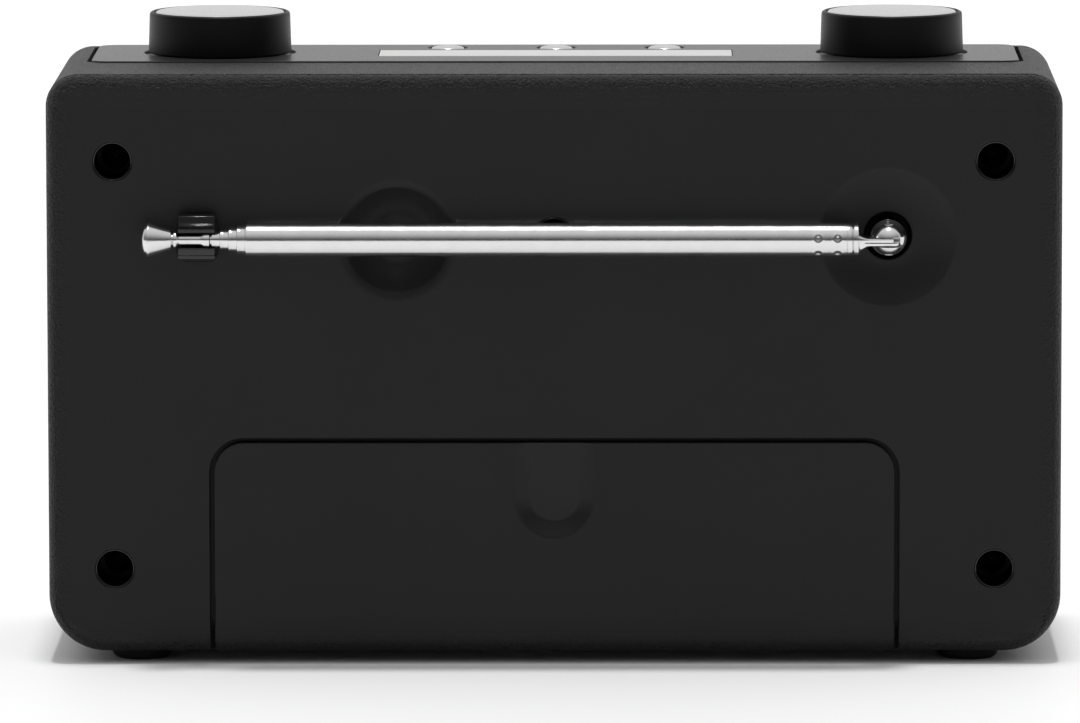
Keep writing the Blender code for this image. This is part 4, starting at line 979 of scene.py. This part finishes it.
def window_look():
    """A pale display under a clear glossy lens."""
    look = Look("display_lens", (0.5, 0.5, 0.49), 0.35, specular=0.4, coat=0.4)
    look.set("Coat Roughness", 0.04)
    cloud = look.noise(60, 2.0)
    look.tint(look.noise_range(cloud), (0.49, 0.495, 0.485), (0.53, 0.535, 0.525))
    look.bump(look.noise(900, 2.0), 0.0008 * MM)
    return look.material


def make_window():
    """The display's lens, let into the top plate."""
    bm = bmesh.new()
    top = WINDOW_HIGH.z - 0.02 * MM
    levels = [
        (WINDOW_LOW.z, 0), (top - 0.12 * MM, 0), (top - 0.03 * MM, 0.03 * MM), (top, 0.12 * MM),
    ]
    panel(bm, (WINDOW_LOW, WINDOW_HIGH), 0.35 * MM, levels, steps=4)
    window = make("display_pane", bm)
    finish(window, window_look(), RADIO, "display_lens", "display_window",
        keep_flat=True)


# Front


def make_grille():
    """Two columns of long slots with rounded ends and softened bars."""
    bm = bmesh.new()
    front, back = GRILLE_LOW.y, GRILLE_HIGH.y
    levels = [
        (front, 0.25 * MM), (front + 0.08 * MM, 0.08 * MM), (front + 0.25 * MM, 0), (back, 0),
    ]
    panel(bm, (GRILLE_LOW, GRILLE_HIGH), 5 * MM, levels, axis=1)
    grille = make("slotted_grille", bm)
    margin, height, rib, rows = 6 * MM, 2.6 * MM, 4 * MM, 16
    width = (GRILLE_HIGH.x - GRILLE_LOW.x - 2 * margin - rib) / 2
    pitch = (GRILLE_HIGH.z - GRILLE_LOW.z - 2 * margin - height) / (rows - 1)

    mouth = [
        (front - MM, -0.35 * MM), (front, -0.35 * MM), (front + 0.12 * MM, -0.1 * MM),
        (front + 0.35 * MM, 0), (back + MM, 0),
    ]

    def slots(bm):
        for row in range(rows):
            z = GRILLE_LOW.z + margin + row * pitch
            for column in (0, 1):
                x = GRILLE_LOW.x + margin + column * (width + rib)
                slab(bm, x, x + width, z, z + height, 1.25 * MM, mouth, steps=8)

    carve(grille, slots)
    shade(grille)
    finish(grille, GRILLE_BLACK, RADIO, "plate_black", "front_grille", keep_flat=True)


def make_speaker():
    """A pressed basket, a magnet and a paper cone with a rolled edge and a dust cap."""
    spot = middle("speaker_cone")
    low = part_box("speaker_basket")[0].y
    place = (spot.x, low, spot.z)
    basket = mm((20, 18), (35.8, 5.5), (35.8, 2), (37, 2), (37, 0), (34.5, 0), (34.5, 4.5),
        (19, 16.5), (11, 16.5), (11, 18))
    turned("speaker_frame", basket, place, "Y", STEEL, RADIO, "steel",
        ["speaker_basket"], steps=96, soft=0, closed=True)
    magnet = mm((0, 29), (18.3, 29), (19, 28.3), (19, 19), (18.3, 18.3), (10.3, 18.3),
        (10.3, 25), (7.5, 25), (7.5, 19), (0, 19))
    turned("speaker_motor", magnet, place, "Y", STEEL, RADIO, "steel",
        ["speaker_magnet"], steps=96, soft=0.2 * MM)
    turns = arc(8, 0.0, pi)
    outer = [(31.0 + 3.0 * -cos(a), 2.6 + 1.5 * sin(a)) for a in turns]
    inner = [(31.0 + 3.0 * cos(a), 1.8 + 1.4 * sin(a)) for a in turns]
    dust = [(9.5 * sin(a), 10.9 - 3.6 * cos(a)) for a in arc(8)]
    back = [(0, 9.4), (8.8, 12.4), (8.8, 22.5), (9.3, 22.5), (9.3, 12.8), (19, 7.4)]
    front = [(18, 6.5), (10.2, 10.9)]
    profile = mm(*back, *outer, *inner, *front, *reversed(dust))
    turned("speaker_diaphragm_cone", profile, place, "Y", PAPER, "speaker_diaphragm",
        "cone_paper", ["speaker_cone"], steps=96, soft=0)


# Aerial

TUBE_OUTER = [3.4 * MM, 2.95 * MM, 2.5 * MM, 2.05 * MM, 1.6 * MM]
# The crimps sit in two rows, at three angles round the tube
CRIMPS = [(x * MM, radians(angle)) for angle in (100, -48, 9) for x in (-53.1, -57.0)]
CRIMP_SIZE = 0.55
CRIMP_DEPTH = 0.16 * MM
CRIMP_RIM = 0.05 * MM
CRIMPED_END = -50.5 * MM
# Below this level the aerial head takes the painted shade chrome
PAINTED_SHADE_Y = REAR_Y + 1.9 * MM


def dimple(x, angle):
    """How far the tube's wall is pressed in at a crimp."""
    pressed = 0.0
    for cx, ca in CRIMPS:
        around = (angle - ca + pi) % (2 * pi) - pi
        d2 = ((x - cx) / (CRIMP_SIZE * MM)) ** 2 + (around * 3.4 / CRIMP_SIZE) ** 2
        rim = exp(-((sqrt(d2) - 1.6) ** 2) / 0.18)
        pressed += CRIMP_DEPTH * exp(-d2) - CRIMP_RIM * rim
    return pressed


def make_tube(number):
    """A drawn tube with a rolled mouth, and on the first one a ferrule line and crimps."""
    node = f"aerial_tube_{number}"
    low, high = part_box(node)
    radius = TUBE_OUTER[number - 1]
    wall = 0.25 * MM
    x0, x1 = low.x, high.x
    profile = [(radius - wall, x0), (radius - 0.05 * MM, x0), (radius, x0 + 0.08 * MM)]
    if number == 1:
        line = x0 + 1.05 * MM
        profile += [
            (radius, line - 0.1 * MM), (radius - 0.07 * MM, line - 0.05 * MM),
            (radius - 0.07 * MM, line + 0.05 * MM), (radius, line + 0.1 * MM),
        ]
        count = 60
        start = line + 0.3 * MM
        profile += [(radius, level) for level in arc(count, start, CRIMPED_END)]
    roll = 0.45 * MM if number == 1 else 0.3 * MM
    profile += [(radius, x1 - roll - 0.5 * MM)]
    if number > 1:
        groove = radius - 0.06 * MM
        profile += [
            (groove, x1 - roll - 0.38 * MM), (groove, x1 - roll - 0.2 * MM),
            (radius, x1 - roll - 0.08 * MM),
        ]
    for a in arc(6):
        inward = wall * 0.9 * (1 - cos(a))
        profile.append((radius - inward, x1 - roll + roll * sin(a)))
    profile.append((radius - wall, x1))
    bm = bmesh.new()
    lathe(bm, profile, (0, AERIAL_Y, AERIAL_Z), "X", 96 if number == 1 else 64, closed=True)
    if number == 1:
        for vert in bm.verts:
            out = Vector((0, vert.co.y - AERIAL_Y, vert.co.z - AERIAL_Z))
            if vert.co.x <= -49 * MM and out.length >= radius - 0.02 * MM:
                vert.co -= out.normalized() * dimple(vert.co.x, atan2(out.z, out.y))
    body = "aerial_mast" if number == 1 else f"aerial_section_{number}"
    tube = make(f"chrome_tube_{number}", bm, 40)
    finish(tube, CHROME, body, "chrome", node)


def make_rod():
    """The solid last section: its end collars and the flared tip with a domed end."""
    low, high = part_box("aerial_rod")
    end = high.x
    flare = 3.6 * MM
    tip = 76.8 * MM
    collar = (62 + 4 * 1.7) * MM
    dome = [
        (flare * 0.94 * sin(a), end - 1.55 * MM * (1 - cos(a)))
        for a in arc(10, 0, radians(78))
    ]
    rim = [(flare, end - 1.62 * MM), (flare * 0.985, end - 1.95 * MM)]
    neck = mm(
        (2.05, 0.25), (1.9, 0), (1.3, 0), (1.3, -0.3), (1.7, -0.35), (1.72, -0.9), (1.15, -1.5),
        along=tip,
    )
    collars = mm((1.15, 2.3), (1.5, 1.5), (1.55, 0.4), (1.15, 0.3), along=collar)
    profile = [*dome, *rim, *neck, *collars, *mm((1.15, 0), (0, 0), along=low.x)]
    turned("chrome_rod", profile, (0, AERIAL_Y, AERIAL_Z), "X", CHROME, "aerial_section_rod",
        "chrome", ["aerial_rod"], steps=72, soft=0.12 * MM, sharp=50)


def make_knuckle():
    """The tube's end, tapered and flattened to a folded tongue of two leaves."""
    low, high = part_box("aerial_knuckle")
    shoulder = TUBE_LOW.x - 0.3 * MM
    bm = bmesh.new()
    sections = [
        # x, then millimetres up, down and deep, then how square the section is
        (shoulder + 3.0 * MM, 2.9, 2.9, 2.9, 2.0),
        (shoulder, 2.9, 2.9, 2.9, 2.0),
        (shoulder, 3.4, 3.4, 3.4, 2.0),
        (shoulder - 0.9 * MM, 3.4, 3.4, 3.4, 2.0),
        (shoulder - 1.0 * MM, 1.9, 3.2, 3.1, 2.2),
        (shoulder - 1.7 * MM, 1.1, 2.3, 2.7, 2.8),
        (shoulder - 2.6 * MM, 0.55, 1.45, 2.5, 4.0),
        (shoulder - 3.2 * MM, 0.45, 1.3, 2.35, 6.0),
        (SWIVEL_X - 1.2 * MM, 0.45, 1.3, 2.3, 6.0),
        (SWIVEL_X - 2.0 * MM, 0.42, 1.25, 1.75, 6.0),
        (low.x, 0.3, 1.1, 0.9, 6.0),
    ]
    rings = []
    count = 64
    for x, up, down, deep, power in sections:
        ring = []
        for k in range(count):
            a = 2 * pi * k / count
            c, s = cos(a), sin(a)
            scale = 1 / (abs(c) ** power + abs(s) ** power) ** (1 / power)
            z = s * scale * (up if s > 0 else down)
            ring.append((x, AERIAL_Y + c * scale * deep * MM, AERIAL_Z + z * MM))
        rings.append(ring)
    loft(bm, rings)
    knuckle = make("chrome_tongue", bm, 40)
    # The line between the two leaves
    fold = block(
        low.x - MM, shoulder - 2.2 * MM, AERIAL_Z - 0.56 * MM, AERIAL_Z - 0.38 * MM, 0.02 * MM,
        AERIAL_Y + 1.4 * MM, AERIAL_Y + 5 * MM, steps=1,
    )
    # The upper leaf stops square, short of the lower one
    short_leaf = block(
        low.x - MM, SWIVEL_X - 0.9 * MM, AERIAL_Z - 0.48 * MM, AERIAL_Z + 2 * MM, 0.02 * MM,
        AERIAL_Y - 0.2 * MM, AERIAL_Y + 5 * MM, steps=1,
    )
    carve(knuckle, fold)
    carve(knuckle, short_leaf)
    soft_rims(knuckle, 0.06 * MM, 2, 50)
    shade(knuckle, 40)
    finish(knuckle, CHROME, "aerial_mast", "chrome", "aerial_knuckle")


def make_head():
    """A dome on a flange and a neck, slotted for the tongue, on its stem."""
    base = HEAD_LOW.y
    top = HEAD_HIGH.y
    dome_radius = 3.15 * MM
    dome = [(dome_radius * sin(a), top - dome_radius * (1 - cos(a))) for a in arc(16)]
    flange = mm(
        (3.15, 2.9), (3.2, 1.5), (3.68, 1.3), (3.7, 0.5), (3.5, 0.2), (3.45, -4.6), (2.2, -4.6),
        along=REAR_Y,
    )
    stem = mm((2.2, 0), (1.15, 0), (1.15, 6), (0, 6), along=base)
    profile = [*dome, *flange, *stem]
    bm = bmesh.new()
    lathe(bm, soften(profile, 0.12 * MM), (SWIVEL_X, 0, AERIAL_Z), "Y", 96)
    head = make("chrome_head", bm)
    slot = block(
        SWIVEL_X - 6 * MM, SWIVEL_X + 6 * MM, AERIAL_Z - 1.42 * MM, AERIAL_Z + 0.62 * MM,
        0.05 * MM, AERIAL_Y - 2.9 * MM, top + MM, steps=1,
    )
    carve(head, slot)
    soft_rims(head, 0.07 * MM, 2, 50)
    shade(head, 40)
    finish(head, CHROME, "aerial_base", "chrome", "aerial_head")
    head.data.materials.append(PAINTED_SHADE_CHROME)
    # Painted shade: below its dome the head gets a darker copy of the chrome, standing in for
    # the bowl's shade
    for face in head.data.polygons:
        face.material_index = int(face.center.y < PAINTED_SHADE_Y)


def make_clip():
    """Glossy jaws that curl round the rod, on a base that closes the case's pocket."""
    x0, x1 = CLIP_LOW.x, CLIP_HIGH.x
    half = 3.75 * MM
    xm = (x0 + x1) / 2
    bm = bmesh.new()
    slab(bm, x0, x1, CLIP_LOW.z, CLIP_HIGH.z, 2.0 * MM,
         [(CLIP_LOW.y, 0), (REAR_Y - 0.08 * MM, 0), (REAR_Y - 0.02 * MM, 0.06 * MM)], steps=8)
    base = make("clip_base", bm)
    finish(base, SHELL, RADIO, "shell_black", "aerial_clip", keep_flat=True)

    def jaw(sign, path):
        """One jaw's section in Y and Z, from its root to its curled lip, taken along X."""
        bm = bmesh.new()
        cy = sum(y for y, z in path) / len(path)
        cz = sum(z for y, z in path) / len(path)
        rings = []
        for x, share in ((-half, 0.9), (-half + 0.12 * MM, 0.97), (-half + 0.4 * MM, 1.0),
                         (half - 0.4 * MM, 1.0), (half - 0.12 * MM, 0.97), (half, 0.9)):
            rings.append([
                (xm + x, REAR_Y + (cy + (y - cy) * share) * MM,
                AERIAL_Z + sign * (cz + (z - cz) * share) * MM)
                for y, z in path
            ])
        loft(bm, rings)
        return bm

    root = [(-1.5, 1.9), (0.6, 1.8), (3.0, 1.6), (4.6, 1.6)]
    upper = [*root, (5.6, 1.4), (6.1, 1.6), (6.0, 3.0), (5.2, 3.25), (5.0, 4.7), (4.7, 4.9),
             (0.4, 4.9), (-1.5, 4.9)]
    lower = [*root, (5.4, 1.5), (5.8, 1.7), (5.7, 3.0), (5.0, 3.2), (4.8, 3.9), (4.4, 4.1),
             (0.4, 4.1), (-1.5, 4.1)]
    for name, sign, path in (("clip_jaw_upper", 1, upper), ("clip_jaw_lower", -1, lower)):
        obj = make(name, jaw(sign, path))
        soft_rims(obj, 0.15 * MM, 3, 20)
        shade(obj, 60)
        finish(obj, GLOSS, RADIO, "gloss_black", "aerial_clip")


make_cover()
make_door()
make_cabinet()
make_plate()
make_screws()
make_well_lips()
make_feet()
make_socket("dc_socket", "power_inlet", 4.2 * MM, 2.9 * MM, 1.0 * MM)
make_socket("headphone_socket", "phones_outlet", 3.0 * MM, 1.8 * MM, 0)
for side in ("volume", "tuning"):
    make_knob(f"{side}_knob", f"{side}_knob_cap", f"{side}_control")
make_keys()
make_window()
make_grille()
make_speaker()
for section in range(1, 6):
    make_tube(section)
make_rod()
make_knuckle()
make_head()
make_clip()


# CAD nodes that are used as they are: the pieces inside the case

CARRIED = {
    # The bushing takes the near-black steel, as painted shade in the swivel's bore
    "display_module": CELL, "battery_tray": INNER, "aerial_bushing": PAINTED_SHADE_STEEL,
    "speaker_lead": WIRE_RED,
}
for material, names in (
    (BOARD, "main_board socket_board key_board"),
    (NICKEL, "tuner_shield battery_link battery_terminal_upper battery_terminal_lower"),
    (NICKEL, "battery_spring_upper battery_spring_lower"),
    (WIRE_GREY, "battery_lead aerial_lead key_lead socket_lead"),
    (STEEL, "volume_shaft tuning_shaft tuning_rotor volume_encoder tuning_encoder"),
    (STEEL, "aerial_pin aerial_screw"),
):
    CARRIED.update(dict.fromkeys(names.split(), material))
for name, obj in nodes.items():
    if not obj.hide_render:
        obj.data.materials.clear()
        obj.data.materials.append(CARRIED[name])


# Camera, floor and light

scene = bpy.context.scene
camera = bpy.data.objects.new("camera", bpy.data.cameras.new("camera"))
scene.collection.objects.link(camera)
YAW, PITCH, ROLL = 0.01055, 0.12436, 0.00171
level = cos(PITCH)
forward = Vector((sin(YAW) * level, -cos(YAW) * level, -sin(PITCH)))
camera.location = (-0.01826, 2.0298, 0.31177)
upright = forward.to_track_quat("-Z", "Y").to_matrix()
camera.rotation_euler = (upright @ Matrix.Rotation(-ROLL, 3, "Z")).to_euler()
camera.data.sensor_width = 36
camera.data.lens = 333.09
camera.data.clip_start = 0.01
camera.data.clip_end = 50
scene.camera = camera

bm = bmesh.new()
bmesh.ops.create_grid(bm, x_segments=8, y_segments=8, size=6)
floor = make("floor", bm)
floor_paint = speckled("floor_paint", (0.9, 0.9, 0.9), 0.6, specular=0.2, scale=3, depth=0.0,
    spread=0.004)
floor.data.materials.append(floor_paint)

scene.view_settings.view_transform = "Standard"
world = bpy.data.worlds.new("studio")
scene.world = world
world.use_nodes = True
world.node_tree.nodes.clear()
add = world.node_tree.nodes.new
link = world.node_tree.links.new


def smooth_ramp(letter, low, high, to_low, to_high):
    """A smooth step of a direction's part along one axis."""
    node = add("ShaderNodeMapRange")
    node.interpolation_type = "SMOOTHSTEP"
    for key, value in zip(RANGE_SOCKETS, (low, high, to_low, to_high)):
        node.inputs[key].default_value = value
    link(direction.outputs[letter], node.inputs["Value"])
    return node


coords = add("ShaderNodeTexCoord").outputs["Generated"]
direction = add("ShaderNodeSeparateXYZ")
link(coords, direction.inputs[0])
# Bright from the front, and from the rear brighter the higher it comes from
ramp = smooth_ramp("Y", 0.35, -0.35, 0.4, 1.0)
height = smooth_ramp("Z", 0.0, 0.95, 0.04, 0.95)
link(height.outputs["Result"], ramp.inputs["To Min"])
lit = add("ShaderNodeBackground")
link(ramp.outputs["Result"], lit.inputs["Strength"])
# The camera itself sees plain white
seen = add("ShaderNodeBackground")
seen.inputs["Strength"].default_value = 1.0
seen.inputs["Color"].default_value = (1, 1, 1, 1)
path = add("ShaderNodeLightPath")
mix = add("ShaderNodeMixShader")
link(path.outputs["Is Camera Ray"], mix.inputs[0])
link(lit.outputs[0], mix.inputs[1])
link(seen.outputs[0], mix.inputs[2])
out = add("ShaderNodeOutputWorld")
link(mix.outputs[0], out.inputs[0])

sun = bpy.data.lights.new("overhead", "SUN")
sun.energy = 1.8
sun.angle = radians(6)
overhead = bpy.data.objects.new("overhead", sun)
scene.collection.objects.link(overhead)
